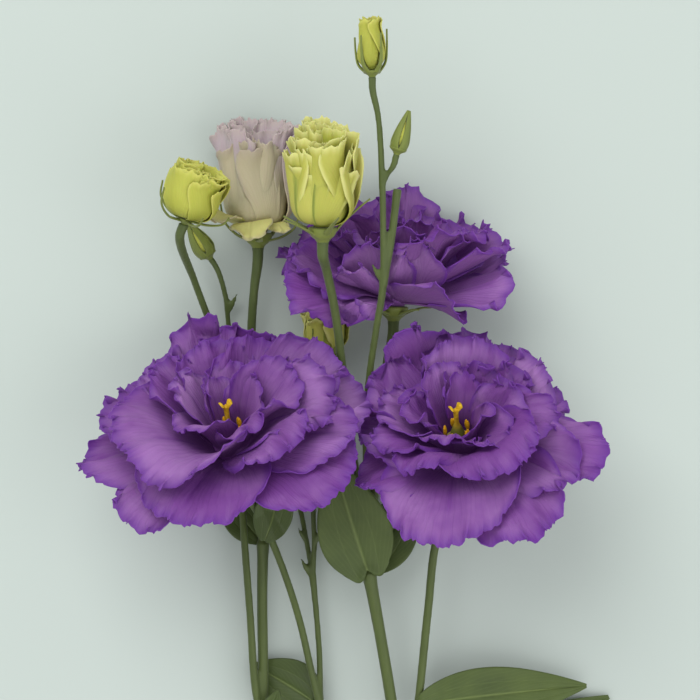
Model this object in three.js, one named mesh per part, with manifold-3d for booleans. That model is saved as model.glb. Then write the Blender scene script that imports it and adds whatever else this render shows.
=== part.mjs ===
// A cut flowering stem of double lisianthus, laid on its back on a flat surface.
// It has three open blooms, two half-open ones, five buds and eleven leaves on one branching stem.
// Millimetres. +Z is up from the surface, +Y runs from the cut end to the top bud,
// and +X is to the right of someone who looks down at it. The origin is the middle of its footprint.
import * as THREE from "three";
import { mergeVertices } from "three/addons/utils/BufferGeometryUtils.js";
import Module from "manifold-3d";

const wasm = await Module();
wasm.setup();

// Driving dimensions
const PETAL_THICKNESS = 0.7;
const LEAF_THICKNESS = 0.9;
const SEPAL_THICKNESS = 0.8;
const GAP = 0.3; // between pieces that touch on the plant
const STEM_STEP = 18; // length of one straight facet of a stem
const CALYX_HEIGHT = 4;
const CORE_HEIGHT = 8; // solid base of an open corolla
const EYE_RADIUS = 5; // free space round the pistil
const EYE_HEIGHT = 34;
const OPEN_CORE_SIDES = 10;
const BUD_CORE_SIDES = 7;

// How many sides a stem has up to each radius.
const STEM_SIDES = [
  [1.5, 5],
  [2.35, 6],
  [Infinity, 8],
];

const COLOURS = {
  stem: 0x5f7440,
  leaf: 0x4c6133,
  sepal: 0x6f8440,
  purple: 0x6b3a8c,
  lime: 0xc3c850,
  cream: 0xbfb591,
  bud: 0xa9ae45,
  pistil: 0xb9952a,
  stamen: 0xd9a40c,
};

// Small maths

const radians = THREE.MathUtils.degToRad;
const vector = (x, y, z) => new THREE.Vector3(x, y, z);
const mix = THREE.MathUtils.lerp;
const ease = (from, to, x) => THREE.MathUtils.smoothstep(x, from, to);

// Solids

function solidOf(positions, triangles) {
  const geometry = new THREE.BufferGeometry();
  geometry.setAttribute("position", new THREE.Float32BufferAttribute(positions, 3));
  geometry.setIndex(triangles);
  return solidFrom(geometry);
}

function solidFrom(geometry) {
  const bare = geometry.clone();
  bare.deleteAttribute("normal");
  bare.deleteAttribute("uv");
  const merged = mergeVertices(bare, 1e-4);
  const mesh = new wasm.Mesh({
    numProp: 3,
    vertProperties: new Float32Array(merged.attributes.position.array),
    triVerts: new Uint32Array(merged.index.array),
  });
  return new wasm.Manifold(mesh);
}

// Which body each vertex belongs to: vertices that share a triangle are in the same one.
function bodiesOf(triangles, count) {
  const owners = Array.from({ length: count }, (_, vertex) => vertex);
  const ownerOf = (vertex) => {
    let owner = vertex;
    while (owners[owner] !== owner) owner = owners[owner];
    return owner;
  };
  for (let i = 0; i < triangles.length; i += 3) {
    const [a, b, c] = [0, 1, 2].map((k) => ownerOf(triangles[i + k]));
    const least = Math.min(a, b, c);
    for (const owner of [a, b, c]) owners[owner] = least;
  }
  return owners.map((_, vertex) => ownerOf(vertex));
}

// The largest body of a solid, as a geometry. Scraps that a cut leaves loose are dropped.
function geometryOf(solid) {
  const { triVerts, vertProperties, numVert, numProp } = solid.getMesh();
  const bodies = bodiesOf(triVerts, numVert);
  const sizes = new Map();
  for (const vertex of triVerts) sizes.set(bodies[vertex], (sizes.get(bodies[vertex]) ?? 0) + 1);
  const [largest] = [...sizes].sort((a, b) => b[1] - a[1])[0];
  const positions = [];
  for (const vertex of triVerts) {
    if (bodies[vertex] !== largest) continue;
    positions.push(...vertProperties.subarray(vertex * numProp, vertex * numProp + 3));
  }
  const geometry = new THREE.BufferGeometry();
  geometry.setAttribute("position", new THREE.Float32BufferAttribute(positions, 3));
  return mergeVertices(geometry, 1e-5);
}

const joined = (solids) => solids.reduce((whole, next) => whole.add(next));

// A closed round body from its profile of [radius, height] points, which starts and ends on the axis.
function turned(profile, sides = 12, turn = 0) {
  const points = profile.map(([radius, height]) => new THREE.Vector2(radius, height));
  const lathe = new THREE.LatheGeometry(points, sides);
  lathe.rotateX(Math.PI / 2);
  lathe.rotateZ(turn);
  return solidFrom(lathe);
}

// A thin blade round a sheet, which gives a point for (along, across) from 0 to 1 and -1 to 1.
// Both faces are split into triangles alike, so that they never cross.
function blade(sheet, rows, columns, thickness) {
  const at = (i, j) => sheet(i / rows, (2 * j) / columns - 1);
  const points = [];
  for (let i = 0; i <= rows; i++) {
    for (let j = 0; j <= columns; j++) points.push(at(i, j));
  }
  const index = (i, j) => i * (columns + 1) + j;
  const clamp = (value, top) => Math.min(top, Math.max(0, value));
  const pick = (i, j) => points[index(clamp(i, rows), clamp(j, columns))];
  const inner = [];
  const outer = [];
  for (let i = 0; i <= rows; i++) {
    for (let j = 0; j <= columns; j++) {
      const along = pick(i + 1, j).clone().sub(pick(i - 1, j));
      const across = pick(i, j + 1).clone().sub(pick(i, j - 1));
      const normal = along.cross(across).normalize().multiplyScalar(thickness / 2);
      inner.push(pick(i, j).clone().add(normal));
      outer.push(pick(i, j).clone().sub(normal));
    }
  }
  const back = points.length;
  const triangles = [];
  for (let i = 0; i < rows; i++) {
    for (let j = 0; j < columns; j++) {
      const [a, b, c, d] = [index(i, j), index(i + 1, j), index(i + 1, j + 1), index(i, j + 1)];
      triangles.push(a, b, c, a, c, d);
      triangles.push(back + a, back + c, back + b, back + a, back + d, back + c);
    }
  }
  const rim = [];
  for (let i = 0; i < rows; i++) rim.push([index(i, 0), index(i + 1, 0)]);
  for (let j = 0; j < columns; j++) rim.push([index(rows, j), index(rows, j + 1)]);
  for (let i = rows; i > 0; i--) rim.push([index(i, columns), index(i - 1, columns)]);
  for (let j = columns; j > 0; j--) rim.push([index(0, j), index(0, j - 1)]);
  for (const [p, q] of rim) triangles.push(q, p, back + p, q, back + p, back + q);
  const positions = [...inner, ...outer].flatMap((point) => point.toArray());
  return solidOf(positions, triangles);
}

const sidesFor = (radius) => STEM_SIDES.find(([limit]) => radius < limit)[1];

// A closed tapering tube. Each point of its path is [x, y, z, radius].
// One flat side faces straight down, so that a stem that lies on the surface rests on a flat.
function tube(path) {
  const curve = new THREE.CatmullRomCurve3(path.map(([x, y, z]) => vector(x, y, z)));
  const steps = Math.max(2, Math.round(curve.getLength() / STEM_STEP), path.length - 1);
  const thickest = Math.max(...path.map((point) => point[3]));
  const sides = sidesFor(thickest);
  const positions = [];
  const triangles = [];
  for (let i = 0; i <= steps; i++) {
    const share = (i / steps) * (path.length - 1);
    const before = Math.min(path.length - 2, Math.floor(share));
    const radius = mix(path[before][3], path[before + 1][3], share - before);
    const centre = curve.getPoint(i / steps);
    centre.z = Math.max(centre.z, radius * Math.cos(Math.PI / sides));
    const along = curve.getTangent(i / steps);
    const side = along.clone().cross(vector(0, 0, 1)).normalize();
    const over = side.clone().cross(along).normalize();
    for (let k = 0; k < sides; k++) {
      const turn = ((k + 0.5) / sides) * 2 * Math.PI + Math.PI / 2;
      const point = centre.clone();
      point.addScaledVector(side, radius * Math.cos(turn));
      point.addScaledVector(over, radius * Math.sin(turn));
      positions.push(...point.toArray());
    }
  }
  for (let i = 0; i < steps; i++) {
    for (let k = 0; k < sides; k++) {
      const next = (k + 1) % sides;
      const [a, b] = [i * sides + k, i * sides + next];
      const [c, d] = [a + sides, b + sides];
      triangles.push(a, d, b, a, c, d);
    }
  }
  const last = steps * sides;
  for (let k = 1; k < sides - 1; k++) {
    triangles.push(0, k, k + 1);
    triangles.push(last, last + k + 1, last + k);
  }
  return solidOf(positions, triangles);
}

// Petals

const PETAL_STEPS = 24; // points at which the bend of a petal is worked out
const LIP_START = 0.68; // share of the length past which the free edge rolls over
const WAVE_START = 0.3; // share of the length past which it waves
const FINE_WAVE = { share: 0.4, rate: 2.3 }; // a second, finer wave over the first
const LEAST_TWIST = 0.3; // share of a petal's twist that its root has
const WIDENING = 1.05; // how late a petal reaches its width

// What a petal has unless its row says otherwise. Angles are degrees from the bloom's axis.
const PLAIN_PETAL = {
  by: 1, // share of the length at which the last angle is reached
  lip: 0, // how far the free edge rolls over, in degrees
  lift: 0, // height of the root above the bottom of the corolla
  root: 2, // half width at the root
  reach: 3.4, // distance of the root from the axis
  round: 0.26, // how far the corners fall short of the middle of the edge
  cup: 1, // how far the sides come in, in millimetres
  twist: 11, // how far the petal turns about its midrib
  wave: 2, // height of the waves along the free edge
  waves: 1.3,
  phase: 0,
  rows: 3,
  columns: 3,
};

// The petals of a whorl lie along one funnel, so that they overlap without crossing.
// Between two petals the funnel's angles pass smoothly from those of one to those of the other.
function funnel(whorl) {
  const petals = [...whorl].sort((a, b) => a.at - b.at);
  return (azimuth) => {
    const at = THREE.MathUtils.euclideanModulo(azimuth, 360);
    const next = petals.findIndex((petal) => petal.at > at);
    const after = petals[next < 0 ? 0 : next];
    const before = petals.at(next < 0 ? -1 : next - 1);
    const gap = THREE.MathUtils.euclideanModulo(after.at - before.at, 360) || 360;
    const share = ease(0, 1, THREE.MathUtils.euclideanModulo(at - before.at, 360) / gap);
    const first = mix(before.out[0], after.out[0], share);
    const last = mix(before.out[1], after.out[1], share);
    const lip = mix(before.lip ?? 0, after.lip ?? 0, share);
    return { first, last, lip };
  };
}

// Radius, height and angle of a funnel's profile at share q of a petal's length.
function profileAt(petal, { first, last, lip }, q) {
  const bend = (t) => radians(mix(first, last, ease(0, petal.by, t)) + lip * ease(LIP_START, 1, t));
  let [radius, height] = [petal.reach, petal.lift];
  for (let i = 0; i < PETAL_STEPS; i++) {
    const angle = bend(((i + 0.5) * q) / PETAL_STEPS);
    const step = (petal.length * q) / PETAL_STEPS;
    radius += step * Math.sin(angle);
    height += step * Math.cos(angle);
  }
  return { radius, height, angle: bend(q) };
}

function petalSheet(petal, whorlAngles) {
  return (along, across) => {
    const q = along * (1 - petal.round * across * across);
    const width = mix(petal.root, petal.half, Math.sin((Math.PI / 2) * along ** WIDENING));
    const side = across * width;
    const spread = profileAt(petal, whorlAngles(petal.at), q).radius;
    const azimuth = petal.at + THREE.MathUtils.radToDeg(side / spread);
    const { radius, height, angle } = profileAt(petal, whorlAngles(azimuth), q);
    const turns = petal.waves * Math.PI * across;
    const fine = Math.sin(FINE_WAVE.rate * turns + 2 * petal.phase + 1);
    const ripple = Math.sin(turns + petal.phase) + FINE_WAVE.share * fine;
    const rise =
      side * Math.tan(radians(petal.twist)) * mix(LEAST_TWIST, 1, q) +
      petal.cup * q * across * across +
      petal.wave * ease(WAVE_START, 1, along) * ripple;
    const outward = radius - rise * Math.cos(angle);
    const turn = radians(azimuth);
    return vector(
      outward * Math.cos(turn),
      outward * Math.sin(turn),
      height + rise * Math.sin(angle),
    );
  };
}

// Where each bloom and bud sits: its seat on the stem, how far its axis leans from straight up
// towards the top of the stem (facing), and how far that lean is turned to the right (aside).
const HEADS = {
  left: { seat: [-35.5, 21.5, 23], facing: 52, aside: -8 },
  right: { seat: [34.5, 21.5, 24], facing: 48, aside: -6 },
  upper: { seat: [13.6, 68.5, 17], facing: 86, aside: 2 },
  cream: { seat: [-28.8, 91.5, 12.4], facing: 88, aside: 1 },
  lime: { seat: [-8.4, 92.6, 45], facing: 82, aside: 0 },
  small: { seat: [-51.2, 98.2, 34], facing: 76, aside: 20 },
  hidden: { seat: [-8.2, 56, 11.5], facing: 84, aside: 2 },
  top: { seat: [6.8, 143, 50], facing: 87, aside: -2 },
  side: { seat: [14.4, 119.4, 48.6], facing: 84, aside: 16 },
  green: { seat: [-44, 88, 9.6], facing: 78, aside: -32 },
};

function frameOf(head) {
  const { seat, facing, aside } = HEADS[head];
  const [lean, turn] = [radians(facing), radians(aside)];
  const axis = vector(
    Math.sin(lean) * Math.sin(turn),
    Math.sin(lean) * Math.cos(turn),
    Math.cos(lean),
  );
  const right = vector(1, 0, 0).addScaledVector(axis, -axis.x).normalize();
  const back = axis.clone().cross(right);
  return new THREE.Matrix4().makeBasis(right, back, axis).setPosition(...seat);
}

// Settles a sheet among what it meets: it lies on the surface where it would go below it,
// over the stalks that pass behind it and under those that pass in front.
const PETAL_CLEARANCE = 1.3; // from a stalk's own surface to the middle of a petal
const LEAF_CLEARANCE = LEAF_THICKNESS / 2 + GAP;
const SLOPE = 0.5; // of a blade away from a stalk that it rests against
const CLEAR_HEIGHT = 20; // above which a blade doesn't feel the surface
const WHORL_RISE = 0.9; // of each whorl over the one that lies below it
const NEXT_RISE = 0.45; // of every second petal over its neighbours

function settled(sheet, frame, floor, clearance, over, under) {
  const inverse = frame.clone().invert();
  return (along, across) => {
    const point = sheet(along, across).applyMatrix4(frame);
    for (const stalk of over) {
      const { height, radius, apart } = nearest(stalk, point);
      const least = height + radius + clearance - SLOPE * Math.max(0, apart - radius);
      point.z = Math.max(point.z, least);
    }
    for (const stalk of under) {
      const { height, radius, apart } = nearest(stalk, point);
      const most = height - radius - clearance + SLOPE * Math.max(0, apart - radius);
      point.z = Math.min(point.z, most);
    }
    const depth = point.z - floor;
    if (depth < CLEAR_HEIGHT) point.z = floor + Math.log1p(Math.exp(depth));
    return point.applyMatrix4(inverse);
  };
}

// The place on a stalk that is nearest to a point, seen from above.
function nearest(stalk, point) {
  let best = { apart: Infinity };
  for (let i = 0; i < stalk.length - 1; i++) {
    const [start, end] = [stalk[i], stalk[i + 1]];
    const [dx, dy] = [end[0] - start[0], end[1] - start[1]];
    const reach = ((point.x - start[0]) * dx + (point.y - start[1]) * dy) / (dx * dx + dy * dy);
    const share = THREE.MathUtils.clamp(reach, 0, 1);
    const apart = Math.hypot(start[0] + share * dx - point.x, start[1] + share * dy - point.y);
    if (apart < best.apart) {
      const height = mix(start[2], end[2], share);
      const radius = mix(start[3], end[3], share);
      best = { height, radius, apart };
    }
  }
  return best;
}

const STRAIGHT_END = 4.5; // length of a stalk that runs straight under its bloom

// A stalk's whole path, with its straight end under the bloom.
function stalkPath(head) {
  const frame = frameOf(head);
  const below = (distance) => vector(0, 0, -distance).applyMatrix4(frame).toArray();
  const end = [STRAIGHT_END, GAP].map((distance) => [...below(distance), STALK_ENDS[head]]);
  return [...STALKS[head], ...end];
}

const pathsOf = (names) => names.map((name) => BRANCHES[name] ?? stalkPath(name));

// A corolla: its core with every petal of every whorl sunk into it.
function corolla(head, core, whorls, { eye, under = [], over = [] } = {}) {
  const frame = frameOf(head);
  const [above, below] = [pathsOf(over), pathsOf(under)];
  const blades = whorls.flatMap((whorl, layer) => {
    const angles = funnel(whorl);
    return whorl.map((row, order) => {
      const petal = { ...PLAIN_PETAL, ...row };
      const floor = PETAL_THICKNESS / 2 + WHORL_RISE * layer + NEXT_RISE * (order % 2);
      const free = petalSheet(petal, angles);
      const sheet = settled(free, frame, floor, PETAL_CLEARANCE, above, below);
      return blade(sheet, petal.rows, petal.columns, PETAL_THICKNESS);
    });
  });
  const sides = eye ? OPEN_CORE_SIDES : BUD_CORE_SIDES;
  const whole = joined([turned(core, sides), ...blades]);
  return geometryOf(eye ? whole.subtract(eye) : whole);
}

// The open blooms. Azimuth 0 is to the right, 90 away from the viewer, 270 towards the viewer.

const ROOT = CALYX_HEIGHT + GAP;
const whorl = (shared, rows) => rows.map((row) => ({ ...shared, ...row }));
const FIRST = { lift: ROOT + 1.2, reach: 3.2 };
const SECOND = { lift: ROOT + 2.2, reach: 3.4 };
const THIRD = { lift: ROOT + 3.4, reach: 3.7, wave: 1.5, twist: 13 };
const FOURTH = { lift: ROOT + 4.8, reach: 4, wave: 1, root: 1.7, twist: 14 };

const LEFT_PETALS = [
  whorl(FIRST, [
    { at: 6, out: [58, 84], length: 44, half: 18, phase: 4 },
    { at: 54, out: [55, 70], length: 41, half: 18, phase: 2.7 },
    { at: 106, out: [51, 60], length: 44, half: 15, phase: 1.1 },
    { at: 152, out: [57, 78], length: 39, half: 17, phase: 1.9 },
    { at: 194, out: [61, 94], length: 47, half: 17, phase: 0.4 },
    { at: 226, out: [62, 110], length: 44, half: 16, phase: 3.1, cup: 0, twist: 0 },
    { at: 323, out: [60, 102], length: 44, half: 21, phase: 0.9 },
  ]),
  whorl(SECOND, [
    { at: 40, out: [48, 64], length: 41, half: 18, phase: 0.2 },
    { at: 130, out: [46, 62], length: 38, half: 19, phase: 5.2 },
    { at: 249, out: [56, 106], length: 42, half: 24, phase: 1.5, cup: 2, twist: -5 },
    { at: 340, out: [52, 86], length: 43, half: 16, phase: 2.2 },
  ]),
  whorl(THIRD, [
    { at: 84, out: [35, 46], length: 34, half: 17, phase: 3.3, cup: 4 },
    { at: 215, out: [41, 64], lip: 24, length: 43, half: 27, phase: 2, cup: 3, twist: 8 },
    { at: 310, out: [38, 58], lip: 60, length: 37, half: 14, phase: 0.5, cup: 0 },
    { at: 350, out: [40, 66], lip: 52, length: 39, half: 20, phase: 4.4, cup: 3 },
  ]),
  whorl(FOURTH, [
    { at: 40, out: [26, 44], length: 30, half: 15, phase: 0.8, cup: 4 },
    { at: 226, out: [30, 50], lip: 50, length: 27, half: 13, phase: 0, cup: 0, columns: 2 },
  ]),
];

const RIGHT_PETALS = [
  whorl(FIRST, [
    { at: 22, out: [56, 78], length: 36, half: 17, phase: 3.9 },
    { at: 70, out: [54, 65], length: 38, half: 15, phase: 5.1 },
    { at: 116, out: [50, 58], length: 42, half: 17, phase: 0 },
    { at: 165, out: [56, 76], length: 31, half: 16, phase: 3 },
    { at: 214, out: [58, 96], length: 35, half: 15, phase: 1 },
    { at: 298, out: [61, 104], length: 48, half: 19, phase: 2.6 },
    { at: 342, out: [60, 94], length: 48, half: 13, phase: 0.2, cup: 1, twist: 16, columns: 2 },
  ]),
  whorl(SECOND, [
    { at: 46, out: [47, 60], length: 36, half: 17, phase: 2.2 },
    { at: 138, out: [46, 62], length: 35, half: 16, phase: 4.2 },
    { at: 264, out: [59, 106], length: 45, half: 25, phase: 1.7, cup: 2 },
    { at: 324, out: [56, 94], length: 43, half: 15, phase: 3.3 },
  ]),
  whorl(THIRD, [
    { at: 84, out: [33, 42], length: 34, half: 18, phase: 3.2, cup: 3 },
    { at: 168, out: [36, 58], lip: 16, length: 29, half: 15, phase: 0.8, cup: 3 },
    { at: 228, out: [39, 62], lip: 46, length: 32, half: 14, phase: 0.3, cup: 0 },
    { at: 297, out: [38, 62], lip: 60, length: 38, half: 21, phase: 1.4, cup: 4 },
    { at: 348, out: [40, 66], lip: 46, length: 35, half: 13, phase: 2.4, columns: 2 },
  ]),
  whorl(FOURTH, [{ at: 306, out: [32, 60], length: 29, half: 12, phase: 2, columns: 2 }]),
];

const UPPER_PETALS = [
  whorl(FIRST, [
    { at: 14, out: [69, 64], length: 35, half: 14, phase: 2, cup: 1, twist: 16 },
    { at: 60, out: [56, 44], length: 34, half: 16, phase: 1.4 },
    { at: 110, out: [50, 40], length: 35, half: 16, phase: 0.5 },
    { at: 158, out: [64, 60], length: 37, half: 16, phase: 4.5, cup: 1, twist: -14 },
    { at: 203, out: [80, 84], length: 34, half: 15, phase: 3.9, cup: 1, twist: -34 },
    { at: 311, out: [84, 93], lip: 20, length: 26, half: 14, phase: 2.9, cup: 0, twist: -40 },
    { at: 340, out: [78, 77], length: 36, half: 11, phase: 0.6, cup: 1, twist: 24, columns: 2 },
  ]),
  whorl(SECOND, [
    { at: 186, out: [66, 66], length: 32, half: 14, phase: 2, cup: 1, twist: -28 },
    { at: 250, out: [72, 10], lip: 46, length: 28, half: 13, phase: 2.4, cup: 0, twist: 0, columns: 2 },
    { at: 286, out: [72, 8], lip: 24, length: 28, half: 10, phase: 0.9, cup: 0, twist: -6, columns: 2 },
    { at: 350, out: [62, 54], lip: 10, length: 37, half: 12, phase: 4.2, cup: 1, twist: 18, columns: 2 },
  ]),
  whorl(THIRD, [
    { at: 96, out: [26, 28], length: 33, half: 15, phase: 2.4, cup: 1, twist: -10 },
    { at: 226, out: [48, 32], lip: 40, length: 28, half: 12, phase: 1, cup: 0, twist: -12, columns: 2 },
    { at: 306, out: [55, 26], lip: 48, length: 32, half: 15, phase: 1.8, cup: 0 },
  ]),
];

const CORE = [
  [0, ROOT],
  [3.2, ROOT],
  [4.6, ROOT + 2.4],
  [6.4, ROOT + CORE_HEIGHT],
  [0, ROOT + CORE_HEIGHT],
];

const EYE_FLOOR = ROOT + CORE_HEIGHT;

const eyeSpace = () =>
  turned([
    [0, EYE_FLOOR - 0.001],
    [EYE_RADIUS, EYE_FLOOR - 0.001],
    [EYE_RADIUS, EYE_HEIGHT],
    [0, EYE_HEIGHT],
  ]);

// Half-open blooms and buds: upright petals that wrap round a closed core.

const WRAPPED = {
  lift: ROOT + 0.8,
  reach: 2.2,
  by: 0.4,
  root: 1.6,
  cup: 0,
  twist: 15,
  wave: 0.6,
  round: 0.1,
};

const LOOSE = { ...WRAPPED, by: 0.45, round: 0.14 };

const CREAM_PETALS = [
  whorl(WRAPPED, [
    { at: 14, out: [74, 4], lip: 16, length: 36, half: 12, phase: 5 },
    { at: 66, out: [74, 4], lip: 20, length: 38, half: 12, phase: 0 },
    { at: 118, out: [74, 4], lip: 22, length: 39, half: 12, phase: 4 },
    { at: 168, out: [76, 6], lip: 20, length: 36, half: 12, phase: 1.9 },
    { at: 216, out: [78, 4], lip: 14, length: 33, half: 12, phase: 1 },
    { at: 268, out: [76, 0], lip: 6, length: 30, half: 14, phase: 0.5 },
    { at: 326, out: [76, 0], lip: 8, length: 32, half: 12, phase: 3 },
  ]),
  whorl({ ...WRAPPED, lift: ROOT + 0.4, by: 0.8 }, [
    { at: 212, out: [90, 8], lip: 10, length: 25, half: 10, phase: 2 },
    { at: 258, out: [92, 34], lip: 30, length: 16, half: 9, phase: 0 },
    { at: 312, out: [92, 20], lip: 40, length: 18, half: 8, phase: 1 },
  ]),
];

const CREAM_CORE = [
  [0, ROOT],
  [2.6, ROOT],
  [5.6, ROOT + 4.5],
  [6.8, ROOT + 12],
  [6.6, ROOT + 22],
  [4, ROOT + 27],
  [0, ROOT + 27],
];

const LIME_PETALS = [
  whorl(LOOSE, [
    { at: 20, out: [80, -2], lip: 8, length: 29, half: 12, phase: 3 },
    { at: 90, out: [80, 0], lip: 10, length: 33, half: 13, phase: 4 },
    { at: 158, out: [80, -1], lip: 9, length: 31, half: 12, phase: 0.6 },
    { at: 214, out: [87, 0], lip: 10, length: 25, half: 13, phase: 0 },
    { at: 262, out: [88, -2], lip: 8, length: 20, half: 11, phase: 1 },
    { at: 312, out: [87, -4], lip: 6, length: 24, half: 14, phase: 2.5 },
  ]),
  whorl({ ...LOOSE, lift: ROOT + 3, reach: 1.6 }, [
    { at: 104, out: [64, -2], lip: 12, length: 33, half: 11, phase: 3 },
    { at: 236, out: [68, -9], lip: 5, length: 24, half: 13, phase: 5 },
  ]),
];

const LIME_CORE = [
  [0, ROOT],
  [2.6, ROOT],
  [5.2, ROOT + 4.5],
  [6, ROOT + 10],
  [5.2, ROOT + 16],
  [3, ROOT + 18.5],
  [0, ROOT + 18.5],
];

const BUD_ROOT = 1.6 + GAP;
const SMALL_WRAPPED = { ...WRAPPED, lift: BUD_ROOT + 0.5, reach: 1.4, root: 0.9, wave: 0.4 };

const SMALL_LOOSE = { ...SMALL_WRAPPED, by: 0.6, round: 0.14 };

const SMALL_PETALS = [
  whorl(SMALL_LOOSE, [
    { at: 24, out: [88, -4], lip: 12, length: 18.5, half: 10, phase: 2 },
    { at: 90, out: [88, -4], lip: 8, length: 21, half: 10, phase: 3 },
    { at: 150, out: [88, -6], lip: 6, length: 21.5, half: 10, phase: 4 },
    { at: 208, out: [90, -8], lip: 2, length: 22, half: 11, phase: 0 },
    { at: 266, out: [90, -8], lip: 4, length: 21, half: 12, phase: 1 },
    { at: 324, out: [90, -2], lip: 12, length: 18.5, half: 10, phase: 5 },
  ]),
  whorl({ ...SMALL_LOOSE, lift: BUD_ROOT + 2, reach: 1.1 }, [
    { at: 180, out: [70, -8], lip: 8, length: 18, half: 9, phase: 2 },
  ]),
];

const SMALL_CORE = [
  [0, BUD_ROOT],
  [2, BUD_ROOT],
  [3.2, BUD_ROOT + 3],
  [3.6, BUD_ROOT + 9],
  [2.4, BUD_ROOT + 14],
  [0, BUD_ROOT + 14],
];

const HIDDEN_PETALS = [
  whorl({ ...SMALL_WRAPPED, by: 0.45, columns: 2 }, [
    { at: 54, out: [72, 2], lip: 22, length: 16, half: 6, phase: 4 },
    { at: 126, out: [72, 2], lip: 22, length: 16, half: 6, phase: 1 },
    { at: 198, out: [72, 2], lip: 20, length: 15, half: 6, phase: 3 },
    { at: 270, out: [72, 0], lip: 20, length: 14, half: 6, phase: 0 },
    { at: 342, out: [72, 2], lip: 20, length: 15, half: 6, phase: 2 },
  ]),
];

const HIDDEN_CORE = [
  [0, BUD_ROOT],
  [1.6, BUD_ROOT],
  [2.4, BUD_ROOT + 2.5],
  [2.6, BUD_ROOT + 7],
  [2, BUD_ROOT + 10],
  [0, BUD_ROOT + 10],
];

const TOP_PETALS = [
  whorl({ ...SMALL_WRAPPED, by: 0.5, twist: 18, wave: 0.3, columns: 2 }, [
    { at: 52, out: [48, -13], lip: 18, length: 17.2, half: 4, phase: 4 },
    { at: 124, out: [48, -13], lip: 18, length: 17.2, half: 4, phase: 1 },
    { at: 196, out: [48, -13], lip: 18, length: 16.8, half: 4, phase: 3 },
    { at: 268, out: [48, -14], lip: 16, length: 16.4, half: 4, phase: 0 },
    { at: 340, out: [48, -13], lip: 18, length: 17, half: 4, phase: 2 },
  ]),
];

const TOP_CORE = [
  [0, BUD_ROOT],
  [1.4, BUD_ROOT],
  [2, BUD_ROOT + 2.6],
  [2.2, BUD_ROOT + 5],
  [1.2, BUD_ROOT + 10],
  [0, BUD_ROOT + 10],
];

// Closed green buds have no petal free yet: their corolla is a smooth spindle.
const SIDE_CORE = [
  [0, BUD_ROOT],
  [1.3, BUD_ROOT],
  [2.7, BUD_ROOT + 2],
  [2.9, BUD_ROOT + 4],
  [2, BUD_ROOT + 7.5],
  [0, BUD_ROOT + 10.5],
];

const GREEN_CORE = [
  [0, BUD_ROOT],
  [1.4, BUD_ROOT],
  [3.5, BUD_ROOT + 2],
  [3.8, BUD_ROOT + 4.2],
  [2.6, BUD_ROOT + 8],
  [0, BUD_ROOT + 11],
];

// Calyx: a small cup with five narrow lobes. Each lobe runs through points of
// [distance from the axis, height], and rises says how steeply each one does so.

const LOBE_ROOT_HEIGHT = 1.6;
const LOBE_TIP = 0.35; // half width of a lobe's tip
const LOBE_TAPER = 0.8; // how early a lobe narrows
const CUP_TURN = 126; // from the first lobe to a corner of the cup
const EVEN = [1, 1, 1, 1, 1];

function calyx(cup, lobe, width, first, rises = EVEN) {
  const lobes = rises.map((rise, k) => {
    const line = lobe.map(([radius, height]) =>
      vector(radius, 0, LOBE_ROOT_HEIGHT + (height - LOBE_ROOT_HEIGHT) * rise),
    );
    const curve = new THREE.CatmullRomCurve3(line);
    const azimuth = radians(first + 72 * k);
    const outward = vector(Math.cos(azimuth), Math.sin(azimuth), 0);
    const round = vector(-Math.sin(azimuth), Math.cos(azimuth), 0);
    const sheet = (along, across) => {
      const point = curve.getPoint(along);
      const side = across * mix(width, LOBE_TIP, along ** LOBE_TAPER);
      return outward.clone().multiplyScalar(point.x).addScaledVector(round, side).setZ(point.z);
    };
    return blade(sheet, 2, 1, SEPAL_THICKNESS);
  });
  const middle = turned(cup, rises.length, radians(first + CUP_TURN));
  return geometryOf(joined([middle, ...lobes]));
}

const OPEN_CUP = [
  [0, 0],
  [2.3, 0],
  [3.6, 1.2],
  [4.6, CALYX_HEIGHT],
  [0, CALYX_HEIGHT],
];
const BUD_CUP = [
  [0, 0],
  [1.5, 0],
  [2.4, 0.6],
  [2.9, 1.6],
  [0, 1.6],
];
const OPEN_LOBE = [[3, 1.6], [6.6, 2.2], [11, 1.2], [15, -1.2]];
const HUGGING_LOBE = [[3, 1.6], [5.6, 2.6], [9, 3.2], [12.4, 3.4]];
const CREAM_LOBE = [[3, 1.8], [7.4, 3.6], [11.4, 7.4], [13, 13]];
const LIME_LOBE = [[3, 1.8], [6.4, 3.6], [10.6, 6], [14.6, 8.6]];
const SMALL_LOBE = [[2, 0.9], [7, 1.4], [11.6, 4.2], [13, 9]];
const HIDDEN_LOBE = [[2, 0.9], [5.2, 1.9], [7.4, 4.4], [8, 9.5]];
const TOP_LOBE = [[2, 0.9], [4.7, 2.6], [6.1, 6.4], [6.3, 12.6]];
const SIDE_LOBE = [[2, 0.9], [4.1, 3.6], [3.9, 7], [2.6, 13.6]];
const GREEN_LOBE = [[2, 0.9], [4.9, 3.2], [4.9, 7], [3.2, 13]];

// Each head's calyx: its cup, its lobes with their half width, the place of the first, and rises.
const CALYXES = {
  left: [OPEN_CUP, OPEN_LOBE, 1.5, 20],
  right: [OPEN_CUP, OPEN_LOBE, 1.5, 20],
  upper: [OPEN_CUP, HUGGING_LOBE, 1.3, 20],
  cream: [OPEN_CUP, CREAM_LOBE, 1.2, 60, [0.8, 0.9, 0.5, 0.3, 0.7]],
  lime: [OPEN_CUP, LIME_LOBE, 1.3, 2, [1, 1, 0.7, 0.8, 1]],
  small: [BUD_CUP, SMALL_LOBE, 1, 2, [0.6, 1, 1, 1.2, 0.6]],
  hidden: [BUD_CUP, HIDDEN_LOBE, 1, 18],
  top: [BUD_CUP, TOP_LOBE, 1, 18],
  side: [BUD_CUP, SIDE_LOBE, 1.2, 18],
  green: [BUD_CUP, GREEN_LOBE, 1.2, 18],
};

// Pistil and stamens stand in the eye of an open bloom.

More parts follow.
